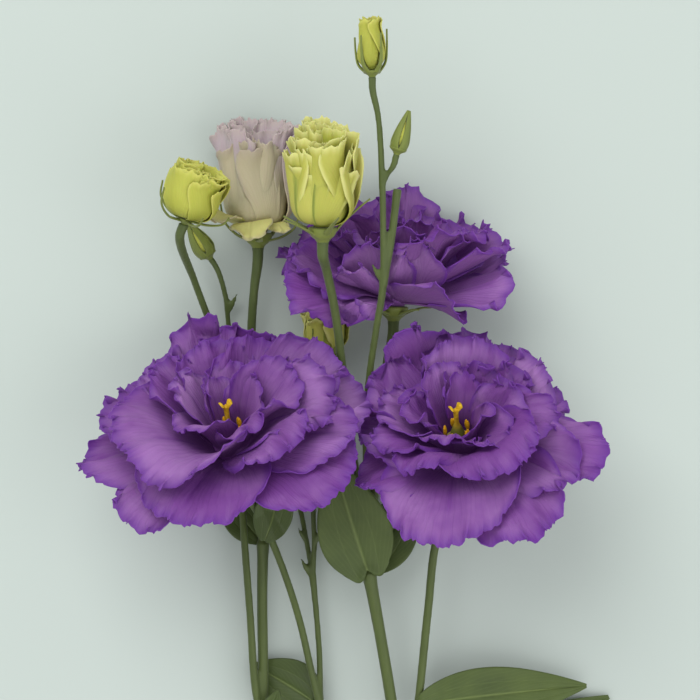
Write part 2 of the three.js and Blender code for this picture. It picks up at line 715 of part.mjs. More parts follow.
function pistil() {
  const column = turned(
    [
      [0, EYE_FLOOR + GAP],
      [1.9, EYE_FLOOR + GAP],
      [2.3, EYE_FLOOR + 3],
      [1.5, EYE_FLOOR + 6],
      [0.8, EYE_FLOOR + 8],
      [0.8, EYE_FLOOR + 13],
      [0, EYE_FLOOR + 13],
    ],
    6,
  );
  const lobes = [-1, 1].map((way) => {
    const lobe = new THREE.SphereGeometry(1, 6, 4);
    lobe.scale(1.9, 1.4, 1.1);
    lobe.rotateY(-0.5 * way);
    lobe.translate(1.3 * way, 0, EYE_FLOOR + 13.2);
    return solidFrom(lobe);
  });
  return geometryOf(joined([column, ...lobes]));
}

const STAMENS = 5;

function stamens() {
  const base = EYE_FLOOR + GAP;
  const ring = [
    [2.6, base],
    [4.2, base],
    [4.2, base + 0.9],
    [2.6, base + 0.9],
    [2.6, base],
  ];
  const pieces = [turned(ring, 8)];
  for (let k = 0; k < STAMENS; k++) {
    const azimuth = ((k + 0.5) / STAMENS) * 2 * Math.PI;
    const [x, y] = [Math.cos(azimuth), Math.sin(azimuth)];
    const leg = [
      [3.4 * x, 3.4 * y, base + 0.4, 0.55],
      [3.7 * x, 3.7 * y, base + 5.2, 0.45],
    ];
    const anther = new THREE.OctahedronGeometry(1);
    anther.scale(1, 1, 2.6);
    anther.translate(3.7 * x, 3.7 * y, base + 6);
    pieces.push(filament(leg), solidFrom(anther));
  }
  return geometryOf(joined(pieces));
}

// An upright three-cornered rod through points of [x, y, z, radius].
function filament(path) {
  const positions = [];
  const triangles = [];
  const sides = 3;
  for (const [x, y, z, radius] of path) {
    for (let k = 0; k < sides; k++) {
      const turn = (k / sides) * 2 * Math.PI;
      positions.push(x + radius * Math.cos(turn), y + radius * Math.sin(turn), z);
    }
  }
  for (let i = 0; i < path.length - 1; i++) {
    for (let k = 0; k < sides; k++) {
      const [a, b] = [i * sides + k, i * sides + ((k + 1) % sides)];
      triangles.push(a, b, b + sides, a, b + sides, a + sides);
    }
  }
  const last = (path.length - 1) * sides;
  triangles.push(0, 2, 1, last, last + 1, last + 2);
  return solidOf(positions, triangles);
}

// Stems. Each point is [x, y, z, radius]; a stem starts inside the one that it grows from.

const MAIN_NODE = [-4.7, -113.2, 5.4];
const LEFT_NODE = [-27.6, -58.3, 7];
const MIDDLE_NODE = [-9.3, -53.3, 7.5];
const RIGHT_NODE = [17.1, -82.5, 8];
const LEFT_LEAF_NODE = [-27.3, -1.6, 8];
const FORK = [-11.8, -11.5, 6.5];
const RIGHT_LEAF_NODE = [5.9, -10.8, 16];
const TOP_FORK = [10.2, 79, 38];
const SIDE_FORK = [9.9, 109.4, 45.8];

const BRANCHES = {
  main: [
    [-4.7, -161.8, 2.86, 3.1],
    [-4.3, -142.6, 2.86, 3.1],
    [-4.9, -126, 3.2, 3],
    [...MAIN_NODE, 3.3],
  ],
  toLeft: [
    [...MAIN_NODE, 2.4],
    [-15.5, -96.1, 5.6, 2.3],
    [-25.4, -74.4, 6, 2.2],
    [...LEFT_NODE, 2.4],
  ],
  toMiddle: [
    [...MAIN_NODE, 2.3],
    [-5.9, -93, 5.6, 2.2],
    [-7.4, -71.3, 6, 2.1],
    [...MIDDLE_NODE, 2.3],
  ],
  toRight: [
    [...MAIN_NODE, 2.6],
    [4.7, -99.2, 6, 2.5],
    [...RIGHT_NODE, 2.7],
  ],
  toLeftLeaves: [
    [...LEFT_NODE, 1.7],
    [-27.3, -43.4, 6.5, 1.7],
    [-27.6, -18.6, 7, 1.7],
    [...LEFT_LEAF_NODE, 1.87],
  ],
  toFork: [
    [...MIDDLE_NODE, 1.05],
    [-9.6, -37.2, 7, 0.98],
    [-10.5, -24.8, 6.5, 0.98],
    [...FORK, 1.12],
  ],
  toRightLeaves: [
    [...RIGHT_NODE, 1.85],
    [14.9, -65.1, 9.5, 1.85],
    [12.7, -49.6, 11, 1.85],
    [9.3, -29.4, 13.5, 1.85],
    [...RIGHT_LEAF_NODE, 2.11],
  ],
  stub: [
    [...TOP_FORK, 1.26],
    [12.7, 93, 41, 1.26],
    [14.6, 108.5, 42.5, 1.26],
  ],
};

// Stalks that end under a bloom or bud, which gives each its name.
const STALKS = {
  small: [
    [...LEFT_NODE, 1.36],
    [-29.8, -46.5, 8.5, 1.29],
    [-31.3, -24.8, 9.5, 1.22],
    [-33.2, 0, 9, 1.22],
    [-35, 27.9, 6.6, 1.16],
    [-38.4, 52.7, 5.8, 1.16],
    [-44, 67.6, 8.5, 1.16],
    [-48.7, 80.6, 15, 1.16],
  ],
  cream: [
    [...LEFT_LEAF_NODE, 1.44],
    [-29.1, 18.6, 6.5, 1.44],
    [-30.7, 43.4, 5.5, 1.44],
    [-31, 63.5, 6.5, 1.44],
    [-30.1, 77.5, 10, 1.44],
  ],
  left: [
    [...MIDDLE_NODE, 1.26],
    [-11.8, -43.4, 9, 1.19],
    [-16.1, -24.8, 11.5, 1.19],
    [-22.3, -6.2, 13.5, 1.19],
    [-28.3, 7.3, 15, 1.26],
  ],
  green: [
    [...FORK, 0.88],
    [-13.9, 0, 5.2, 0.88],
    [-15.8, 9.3, 4.2, 0.88],
    [-20.1, 21.7, 3, 0.88],
    [-27.3, 37.2, 2.2, 0.88],
    [-34.7, 51.1, 2.2, 0.88],
    [-38, 65.1, 3, 0.88],
    [-39.2, 76, 5.6, 0.88],
  ],
  hidden: [
    [...FORK, 0.98],
    [-11.2, -1.6, 8, 0.9],
    [-11.5, 7.8, 9, 0.9],
    [-10.5, 31, 9.5, 0.9],
    [-8.9, 46, 10.4, 0.98],
  ],
  lime: [
    [...RIGHT_LEAF_NODE, 1.41],
    [1.9, 18.6, 17, 1.41],
    [-1.2, 43.4, 18.5, 1.41],
    [-2.5, 54.2, 22.5, 1.41],
    [-4.7, 71.3, 32, 1.41],
    [-7.4, 84.2, 40, 1.48],
  ],
  top: [
    [...RIGHT_LEAF_NODE, 1.16],
    [5.3, 12.4, 18, 1.16],
    [5, 34.1, 20, 1.16],
    [5.9, 49.6, 23.5, 1.16],
    [8.1, 65.1, 31, 1.16],
    [...TOP_FORK, 1.22],
    [10.2, 96.1, 43, 1.02],
    [...SIDE_FORK, 1.09],
    [8.7, 130.2, 48, 0.95],
  ],
  side: [
    [...SIDE_FORK, 0.8],
    [11.6, 113, 46.8, 0.8],
  ],
  upper: [
    [...RIGHT_LEAF_NODE, 1.48],
    [7.4, 12.4, 14, 1.48],
    [9, 34.1, 13, 1.48],
    [11.5, 54.2, 15, 1.48],
  ],
  right: [
    [...RIGHT_NODE, 1.43],
    [19.8, -65.1, 9, 1.36],
    [22, -46.5, 11, 1.36],
    [24.5, -21.7, 14, 1.36],
    [27.2, 0, 16, 1.36],
  ],
};

// Radius of each stalk under its bloom or bud.
const STALK_ENDS = {
  small: 1.56,
  cream: 1.76,
  left: 1.72,
  green: 0.96,
  hidden: 1.09,
  lime: 1.79,
  top: 1.17,
  side: 0.96,
  upper: 1.79,
  right: 1.79,
};

// Small pointed bracts at the forks: root, tip and half width.
const BRACTS = [
  [[-12.6, -11.8, 6.6], [-15.4, -6.6, 7.6], 0.8],
  [[-11.2, -2, 8.2], [-8.6, 2.6, 9.8], 0.8],
  [[-38.2, 71, 4.4], [-35.6, 76.4, 6], 0.8],
  [[9.6, 80.4, 38.4], [6.8, 85.4, 39.8], 0.8],
  [[12.2, 113.8, 47], [14.6, 116.6, 48.4], 0.7],
];

function bract([root, tip, half]) {
  const [start, end] = [vector(...root), vector(...tip)];
  const side = end.clone().sub(start).cross(vector(0, 0, 1)).normalize();
  const sheet = (along, across) =>
    start.clone().lerp(end, along).addScaledVector(side, across * mix(half, 0.3, along));
  return blade(sheet, 1, 1, 0.7);
}

const ALL_PATHS = pathsOf([...Object.keys(BRANCHES), ...Object.keys(STALKS)]);

const stem = () => geometryOf(joined([...ALL_PATHS.map(tube), ...BRACTS.map(bract)]));

// Leaves, broad and pointed. Each has the root, a point on the way and the tip of its midrib,
// its half width, how far its halves fold up in degrees, and whether it lies over the stems.
// Press is how much closer than the others it lies to them.
const LEAVES = {
  leaf_left_front: {
    rib: [[-26.6, -0.6, 11], [-22.6, 6.6, 20], [-20.6, 22, 19]],
    half: 6.4,
    fold: 20,
    over: true,
    press: -0.2,
  },
  leaf_left_back: {
    rib: [[-28.2, -1, 6], [-34.4, 6.6, 4], [-42.6, 16.4, 2]],
    half: 6,
    fold: 4,
  },
  leaf_middle_front: {
    rib: [[5.4, -9.8, 18], [0.4, 4.4, 22], [-5.6, 26, 22.4]],
    half: 11.6,
    fold: 5,
    over: true,
    base: 0.12,
    press: 0.75,
  },
  leaf_middle_back: {
    rib: [[6.6, -10, 14], [13.4, 2.4, 9.6], [20.4, 17, 8]],
    half: 8.6,
    fold: 4,
    press: 0.25,
  },
  leaf_low_front: {
    rib: [[-27.4, -57.8, 9], [-24, -52.6, 11], [-22.4, -47.6, 12]],
    half: 3,
    fold: 8,
    over: true,
  },
  leaf_low_left: {
    rib: [[-10, -52.8, 6], [-20.6, -45.2, 3], [-30.8, -40.4, 1.6]],
    half: 9.6,
    fold: 3,
  },
  leaf_right: {
    rib: [[22, -52, 11], [46.5, -48.6, 11], [74.4, -46.8, 4.4]],
    half: 10.4,
    fold: 6,
    over: true,
  },
  leaf_right_low: {
    rib: [[18.8, -82.6, 6], [49, -66, 2.6], [81.6, -50.4, 1.2]],
    half: 11,
    fold: 3,
    press: 0.9,
  },
  leaf_right_inner: {
    rib: [[14.6, -82, 6], [7, -72.4, 2.6], [1, -61.6, 1.4]],
    half: 7.4,
    fold: 3,
    press: 0.8,
  },
  leaf_main_left: {
    rib: [[-6.9, -111.6, 3], [-24, -97, 0.9], [-42.6, -84.6, 0.6]],
    half: 10.5,
    fold: 2,
  },
  leaf_main_right: {
    rib: [[-2.5, -112.6, 3], [18, -105.6, 0.9], [41, -96.4, 0.6]],
    half: 10.5,
    fold: 2,
  },
};

const LEAF_ROWS = 6;
const LEAF_COLUMNS = { over: 4, under: 2 }; // finer where a leaf bends over stems
const LEAF_TIP = 0.45; // half width of a leaf's tip
const LEAF_END = 0.98; // where its outline is cut short of a point
const LEAF_FULLNESS = { rib: 0.8, edge: 0.9 };

// The half width of a leaf at a share of its length, which starts at its base.
function leafWidth(half, base, along) {
  const turn = Math.PI * mix(base, LEAF_END, along) ** LEAF_FULLNESS.rib;
  return Math.max(LEAF_TIP, half * Math.sin(turn) ** LEAF_FULLNESS.edge);
}

function leaf({ rib, half, fold, over = false, base = 0.05, press = 0 }) {
  const midrib = new THREE.QuadraticBezierCurve3(...rib.map((point) => vector(...point)));
  const tilt = radians(fold);
  const sheet = (along, across) => {
    const point = midrib.getPoint(along);
    const side = midrib.getTangent(along).cross(vector(0, 0, 1)).normalize();
    const width = leafWidth(half, base, along);
    point.addScaledVector(side, across * width * Math.cos(tilt));
    point.z += Math.abs(across) * width * Math.sin(tilt);
    return point;
  };
  const [above, below] = over ? [ALL_PATHS, []] : [[], ALL_PATHS];
  const floor = LEAF_THICKNESS / 2;
  const clearance = LEAF_CLEARANCE - press;
  const place = settled(sheet, new THREE.Matrix4(), floor, clearance, above, below);
  const columns = over ? LEAF_COLUMNS.over : LEAF_COLUMNS.under;
  return geometryOf(blade(place, LEAF_ROWS, columns, LEAF_THICKNESS));
}

// Assembly

const materials = Object.fromEntries(
  Object.entries(COLOURS).map(([name, color]) => [
    name,
    new THREE.MeshStandardMaterial({ color, roughness: 0.6, metalness: 0 }),
  ]),
);

function named(name, geometry, material) {
  const mesh = new THREE.Mesh(geometry, materials[material]);
  mesh.name = name;
  return mesh;
}

const flower = new THREE.Group();
flower.add(named("stem", stem(), "stem"));
for (const [name, shape] of Object.entries(LEAVES)) {
  flower.add(named(name, leaf(shape), "leaf"));
}

function headGroup(head, pieces) {
  const group = new THREE.Group();
  group.applyMatrix4(frameOf(head));
  group.add(...pieces);
  flower.add(group);
}

// Each open bloom's petals and the stalks that they lie over or under.
const OPEN_BLOOMS = {
  left: { petals: LEFT_PETALS, over: ["small", "cream", "green", "hidden", "lime"] },
  right: { petals: RIGHT_PETALS, over: ["upper", "top"] },
  upper: { petals: UPPER_PETALS, under: ["lime", "top", "stub"] },
};

// Each bud's core, petals and colour. A closed green bud is its core alone.
const BUDS = {
  cream: { core: CREAM_CORE, petals: CREAM_PETALS, colour: "cream" },
  lime: { core: LIME_CORE, petals: LIME_PETALS, colour: "lime" },
  small: { core: SMALL_CORE, petals: SMALL_PETALS, colour: "lime" },
  hidden: { core: HIDDEN_CORE, petals: HIDDEN_PETALS, colour: "bud" },
  top: { core: TOP_CORE, petals: TOP_PETALS, colour: "bud" },
  side: { core: SIDE_CORE, petals: [], colour: "bud" },
  green: { core: GREEN_CORE, petals: [], colour: "bud" },
};

for (const [head, { petals, over, under }] of Object.entries(OPEN_BLOOMS)) {
  const settling = { eye: eyeSpace(), over, under };
  headGroup(head, [
    named(`corolla_${head}`, corolla(head, CORE, petals, settling), "purple"),
    named(`calyx_${head}`, calyx(...CALYXES[head]), "sepal"),
    named(`pistil_${head}`, pistil(), "pistil"),
    named(`stamens_${head}`, stamens(), "stamen"),
  ]);
}

for (const [head, { core, petals, colour }] of Object.entries(BUDS)) {
  headGroup(head, [
    named(`corolla_${head}`, corolla(head, core, petals), colour),
    named(`calyx_${head}`, calyx(...CALYXES[head]), "sepal"),
  ]);
}

// Puts the origin under the middle of the whole flower, on the surface that it lies on.
const middle = new THREE.Box3().setFromObject(flower, true);
const centre = middle.getCenter(new THREE.Vector3());
flower.position.set(-centre.x, -centre.y, -middle.min.z);

export default flower;
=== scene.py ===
"""A cut stem of double lisianthus lying on its back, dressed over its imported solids.

Shapes are worked out in millimetres in the frame of the stem's own layout, with the surface at
height zero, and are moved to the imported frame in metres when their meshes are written.
"""

import logging
import math
from dataclasses import dataclass, field
from enum import Enum
from typing import Any, Callable, Sequence

import bpy
import numpy as np
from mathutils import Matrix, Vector


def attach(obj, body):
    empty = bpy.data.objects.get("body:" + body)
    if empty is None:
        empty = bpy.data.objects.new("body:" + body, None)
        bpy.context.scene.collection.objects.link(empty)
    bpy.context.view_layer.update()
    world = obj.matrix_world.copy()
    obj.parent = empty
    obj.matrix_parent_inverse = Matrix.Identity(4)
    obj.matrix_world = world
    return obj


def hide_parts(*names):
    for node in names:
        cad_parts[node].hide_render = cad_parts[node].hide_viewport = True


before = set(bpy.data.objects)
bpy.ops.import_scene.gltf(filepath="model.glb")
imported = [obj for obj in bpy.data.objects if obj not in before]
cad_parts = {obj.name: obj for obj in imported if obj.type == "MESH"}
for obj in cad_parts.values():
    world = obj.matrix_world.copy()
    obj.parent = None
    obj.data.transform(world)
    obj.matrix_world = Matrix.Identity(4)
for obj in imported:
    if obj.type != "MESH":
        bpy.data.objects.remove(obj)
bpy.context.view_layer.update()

LOG = logging.getLogger("lisianthus")
MM = 0.001
UP = [0, 0, 1.0]
LAYOUT_SHIFT = np.array([0.487, 0.082, 0.0])  # from the layout to the middle of the footprint

Point = tuple[float, float, float]
Path = list[tuple[float, float, float, float]]  # points and radii
Profile = list[tuple[float, float]]  # radii and heights
Colour = tuple[float, float, float]
Span = tuple[float, float]  # where a ramp is 0 and where it is 1
Sheet = Callable[[np.ndarray, np.ndarray], np.ndarray]
Spacing = Callable[[np.ndarray], np.ndarray]


# Small maths


def mix(low: Any, high: Any, share: Any) -> Any:
    """Blends from low to high."""
    return low + (high - low) * share


def ease(start: float, end: float, value: Any) -> Any:
    """Rises smoothly from 0 at start to 1 at end."""
    share = np.clip((value - start) / (end - start), 0.0, 1.0)
    return share * share * (3.0 - 2.0 * share)


def bell(value: Any, width: float) -> Any:
    """A bell-shaped hump of height 1 and the given half width."""
    return np.exp(-((value / width) ** 2))


def smooth_line(points: Sequence[Sequence[float]], shares: np.ndarray) -> np.ndarray:
    """Points on a smooth curve through given ones.

    Args:
        points: The points that the curve goes through, three numbers each.
        shares: Places on the curve, from 0 at its start to 1 at its end.

    Returns:
        One row of three numbers for each share.
    """
    known = np.array([point[:3] for point in points], float)
    known = np.vstack([2 * known[0] - known[1], known, 2 * known[-1] - known[-2]])
    place = np.clip(shares, 0, 1) * (len(points) - 1)
    first = np.minimum(place.astype(int), len(points) - 2)
    t = (place - first)[:, None]
    a, b, c, d = (known[first + k] for k in range(4))
    gaps = [np.sqrt(np.linalg.norm(q - p, axis=1))[:, None] for p, q in ((a, b), (b, c), (c, d))]
    before, here, after = (np.maximum(gap, 1e-4) for gap in gaps)
    leave = ((b - a) / before - (c - a) / (before + here) + (c - b) / here) * here
    arrive = ((c - b) / here - (d - b) / (here + after) + (d - c) / after) * here
    curve = (2 * b - 2 * c + leave + arrive) * t**3
    return curve + (-3 * b + 3 * c - 2 * leave - arrive) * t**2 + leave * t + b


# Mesh making


def only(piece: bpy.types.Object) -> None:
    """Makes one object the active and only selected one.

    Args:
        piece: The object.
    """
    bpy.ops.object.select_all(action="DESELECT")
    piece.select_set(True)
    bpy.context.view_layer.objects.active = piece


def grid(columns: int, rows: int) -> bpy.types.Object:
    """Adds a flat grid that runs from -1 to 1 both ways.

    Args:
        columns: Faces across it.
        rows: Faces along it.

    Returns:
        The new object, with a UV map over the whole grid.
    """
    bpy.ops.object.select_all(action="DESELECT")
    bpy.ops.mesh.primitive_grid_add(
        x_subdivisions=columns, y_subdivisions=rows, size=2, calc_uvs=True
    )
    return bpy.context.active_object


def even(share: np.ndarray) -> np.ndarray:
    """Rows at even steps."""
    return share


def crowded(share: np.ndarray) -> np.ndarray:
    """Rows that lie closer together towards the end."""
    return 1 - (1 - share) ** 1.5


def lay(piece: bpy.types.Object, sheet: Sheet, rows: Spacing = even) -> None:
    """Moves a grid's points onto a sheet.

    Args:
        piece: A fresh grid.
        sheet: Gives layout points for (along, across), from 0 to 1 and from -1 to 1.
        rows: Places the grid's rows along the sheet.
    """
    mesh = piece.data
    flat = np.empty(len(mesh.vertices) * 3)
    mesh.vertices.foreach_get("co", flat)
    flat = flat.reshape(-1, 3)
    points = (sheet(rows((flat[:, 1] + 1) / 2), flat[:, 0]) + LAYOUT_SHIFT) * MM
    mesh.vertices.foreach_set("co", points.ravel())
    mesh.update()


def mark(piece: bpy.types.Object, name: str, values: np.ndarray) -> None:
    """Gives each point of a mesh its own value of a new attribute."""
    layer = piece.data.attributes.new(name=name, type="FLOAT", domain="POINT")
    layer.data.foreach_set("value", values)


def thicken(piece: bpy.types.Object, thickness: float) -> None:
    """Gives sheets their thickness and marks which of the two faces looks outwards.

    Args:
        piece: Sheets without thickness, with their fronts looking away from the bloom's axis.
        thickness: How thick they become, in millimetres.
    """
    apply(piece, "SOLIDIFY", thickness=thickness * MM, offset=0)
    count = len(piece.data.vertices)
    mark(piece, "outer", (np.arange(count) < count // 2).astype(float))


def close_up(piece: bpy.types.Object) -> None:
    """Welds a rolled grid along its seam and poles and turns its faces outwards.

    Args:
        piece: The rolled grid.
    """
    only(piece)
    bpy.ops.object.mode_set(mode="EDIT")
    bpy.ops.mesh.select_all(action="SELECT")
    bpy.ops.mesh.remove_doubles(threshold=1e-6)
    bpy.ops.mesh.normals_make_consistent(inside=False)
    bpy.ops.object.mode_set(mode="OBJECT")


def apply(piece: bpy.types.Object, kind: str, **settings: Any) -> None:
    """Adds a modifier with its settings and applies it.

    Args:
        piece: The object that gets it.
        kind: The modifier's type.
        **settings: Its properties.
    """
    only(piece)
    modifier = piece.modifiers.new(kind.title(), kind)
    for name, value in settings.items():
        setattr(modifier, name, value)
    bpy.ops.object.modifier_apply(modifier=modifier.name)


def join(pieces: list[bpy.types.Object], name: str) -> bpy.types.Object:
    """Joins objects into one.

    Args:
        pieces: The objects, one or more.
        name: What the whole and its mesh are called.

    Returns:
        The whole.
    """
    only(pieces[0])
    for piece in pieces:
        piece.select_set(True)
    if len(pieces) > 1:
        bpy.ops.object.join()
    whole = bpy.context.view_layer.objects.active
    whole.name = name
    whole.data.name = name
    return whole


def blade(sheet: Sheet, columns: int, rows: int, tint: float = 0.5) -> bpy.types.Object:
    """Makes one thin sheet, without its thickness yet.

    Args:
        sheet: The surface that it follows.
        columns: Faces across it.
        rows: Faces along it, closer together towards its tip.
        tint: Its own shade, from 0 to 1.

    Returns:
        The open sheet.
    """
    piece = grid(columns, rows)
    lay(piece, sheet, crowded)
    mark(piece, "tint", np.full(len(piece.data.vertices), tint))
    return piece


def rolled(sheet: Sheet, sides: int, rows: int, tint: float = 0.5) -> bpy.types.Object:
    """Makes one closed round body.

    Args:
        sheet: Its surface, whose two sides meet and whose two ends close.
        sides: Faces round it.
        rows: Faces along it.
        tint: Its own shade, from 0 to 1.

    Returns:
        The closed body.
    """
    piece = grid(sides, rows)
    lay(piece, sheet)
    close_up(piece)
    mark(piece, "tint", np.full(len(piece.data.vertices), tint))
    return piece


def finish(
    piece: bpy.types.Object, node: str, material: bpy.types.Material
) -> bpy.types.Object:
    """Dresses a piece and lets it stand for a CAD node.

    Args:
        piece: The finished mesh object.
        node: The CAD node that it replaces.
        material: The material of all its faces.

    Returns:
        The same object.
    """
    only(piece)
    bpy.ops.object.shade_smooth()
    piece.data.materials.clear()
    piece.data.materials.append(material)
    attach(piece, "root")
    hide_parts(node)
    LOG.info("%s: %d faces for %s", piece.name, len(piece.data.polygons), node)
    return piece


# Shader making


class Field:
    """A value that varies over a surface, with Python's own arithmetic."""

    def __init__(self, tree: bpy.types.NodeTree, socket: bpy.types.NodeSocket) -> None:
        """Wraps one output socket of a node tree."""
        self.tree = tree
        self.socket = socket

    def _math(self, operation: str, *values: Any) -> "Field":
        """Adds a Math node.

        Args:
            operation: What it works out.
            *values: Its inputs in order, each a Field or a number.

        Returns:
            Its result.
        """
        node = self.tree.nodes.new("ShaderNodeMath")
        node.operation = operation
        for place, value in enumerate(values):
            if isinstance(value, Field):
                self.tree.links.new(value.socket, node.inputs[place])
            else:
                node.inputs[place].default_value = value
        return Field(self.tree, node.outputs[0])

    def __add__(self, other: Any) -> "Field":
        """Sum."""
        return self._math("ADD", self, other)

    __radd__ = __add__

    def __sub__(self, other: Any) -> "Field":
        """Difference."""
        return self._math("SUBTRACT", self, other)

    def __rsub__(self, other: Any) -> "Field":
        """Difference from a number."""
        return self._math("SUBTRACT", other, self)

    def __mul__(self, other: Any) -> "Field":
        """Product."""
        return self._math("MULTIPLY", self, other)

    __rmul__ = __mul__

    def __pow__(self, other: Any) -> "Field":
        """Power."""
        return self._math("POWER", self, other)

    def __abs__(self) -> "Field":
        """Size without sign."""
        return self._math("ABSOLUTE", self)

    def sine(self) -> "Field":
        """Sine of a value in radians."""
        return self._math("SINE", self)

    def stripes(self) -> "Field":
        """Smooth stripes between 0 and 1, one for each 2 of the value."""
        return (self * math.pi).sine() * 0.5 + 0.5

    def clip(self) -> "Field":
        """Keeps the value between 0 and 1.

        Returns:
            The clamped value.
        """
        same = self._math("ADD", self, 0.0)
        same.socket.node.use_clamp = True
        return same

    def ramp(self, low: float, high: float) -> "Field":
        """Rises smoothly from 0 at low to 1 at high, or falls where low is the larger.

        Args:
            low: Where the result is 0.
            high: Where the result is 1.

        Returns:
            The share from 0 to 1.
        """
        node = self.tree.nodes.new("ShaderNodeMapRange")
        node.interpolation_type = "SMOOTHSTEP"
        self.tree.links.new(self.socket, node.inputs["Value"])
        node.inputs["From Min"].default_value = min(low, high)
        node.inputs["From Max"].default_value = max(low, high)
        rise = Field(self.tree, node.outputs[0])
        return rise if low <= high else 1.0 - rise


def linear(red: int, green: int, blue: int) -> Colour:
    """Turns a colour as seen on a screen, 0 to 255, into light by the sRGB curve."""
    shares = (channel / 255 for channel in (red, green, blue))
    return tuple(c / 12.92 if c < 0.04045 else ((c + 0.055) / 1.055) ** 2.4 for c in shares)


class Shader:
    """One material's nodes."""

    COLOUR_A, COLOUR_B, COLOUR_OUT = 6, 7, 2  # the colour sockets of a Mix node

    def __init__(self, name: str, **constants: Any) -> None:
        """Starts a material.

        Args:
            name: What it is called.
            **constants: Values of its main shader's sockets by name, with _ for a space.
        """
        self.material = bpy.data.materials.new(name)
        self.material.use_nodes = True
        self.tree = self.material.node_tree
        self.surface = self.tree.nodes["Principled BSDF"]
        for socket, value in constants.items():
            self.surface.inputs[socket.replace("_", " ")].default_value = value

    def node(self, kind: str, settings: dict[str, Any], **inputs: Any) -> bpy.types.Node:
        """Adds any node.

        Args:
            kind: The node's type without its ShaderNode prefix.
            settings: Properties of the node, set before its sockets.
            **inputs: Values, Fields or sockets for its sockets by name, with _ for a space.

        Returns:
            The node.
        """
        made = self.tree.nodes.new("ShaderNode" + kind)
        for name, value in settings.items():
            setattr(made, name, value)
        for name, value in inputs.items():
            socket = made.inputs[name.replace("_", " ")]
            if isinstance(value, Field):
                self.tree.links.new(value.socket, socket)
            elif isinstance(value, bpy.types.NodeSocket):
                self.tree.links.new(value, socket)
            else:
                socket.default_value = value
        return made

    def place(self) -> bpy.types.NodeSocket:
        """Object coordinates."""
        return self.node("TexCoord", {}).outputs["Object"]

    def uv(self) -> tuple[Field, Field]:
        """Reads the piece's UV map.

        Returns:
            Places across and along a blade, each from 0 to 1.
        """
        map_node = self.node("UVMap", {"uv_map": "UVMap"})
        parts = self.node("SeparateXYZ", {}, Vector=map_node.outputs[0])
        return Field(self.tree, parts.outputs[0]), Field(self.tree, parts.outputs[1])

    def attribute(self, name: str) -> Field:
        """A named value of the mesh."""
        made = self.node("Attribute", {"attribute_name": name})
        return Field(self.tree, made.outputs["Fac"])

    def noise(self, vector: Any, scale: float, detail: float = 2.0, rough: float = 0.5) -> Field:
        """Adds soft noise.

        Args:
            vector: The socket of the coordinates that it reads.
            scale: Spots in a unit of them.
            detail: How many finer layers it has.
            rough: How strong the finer layers are.

        Returns:
            Values mostly between 0.2 and 0.8.
        """
        made = self.node(
            "TexNoise", {}, Vector=vector, Scale=scale, Detail=detail, Roughness=rough
        )
        return Field(self.tree, made.outputs[0])

    def vector(self, x: Field, y: Field, z: Field) -> bpy.types.NodeSocket:
        """Joins three values into a vector."""
        return self.node("CombineXYZ", {}, X=x, Y=y, Z=z).outputs[0]

    def blend(self, low: Any, high: Any, share: Field) -> bpy.types.NodeSocket:
        """Mixes two colours.

        Args:
            low: The colour at share 0, a triple or a socket.
            high: The colour at share 1, likewise.
            share: How much of high shows.

        Returns:
            The mixed colour's socket.
        """
        made = self.tree.nodes.new("ShaderNodeMix")
        made.data_type = "RGBA"
        self.tree.links.new(share.socket, made.inputs[0])
        for place, colour in ((self.COLOUR_A, low), (self.COLOUR_B, high)):
            if isinstance(colour, bpy.types.NodeSocket):
                self.tree.links.new(colour, made.inputs[place])
            else:
                made.inputs[place].default_value = (*colour, 1.0)
        return made.outputs[self.COLOUR_OUT]

    def colour(self, socket: bpy.types.NodeSocket) -> None:
        """Feeds the base colour."""
        self.tree.links.new(socket, self.surface.inputs["Base Color"])

    def roughness(self, value: Field, least: float, spread: float) -> None:
        """Feeds the roughness: least, and up to spread more with the value."""
        rough = value * spread + least
        self.tree.links.new(rough.socket, self.surface.inputs["Roughness"])

    def relief(self, height: Field, distance: float) -> None:
        """Raises the surface by a height from 0 to 1 times a distance in metres."""
        bump = self.node("Bump", {}, Height=height, Distance=distance, Strength=1.0)
        self.tree.links.new(bump.outputs[0], self.surface.inputs["Normal"])


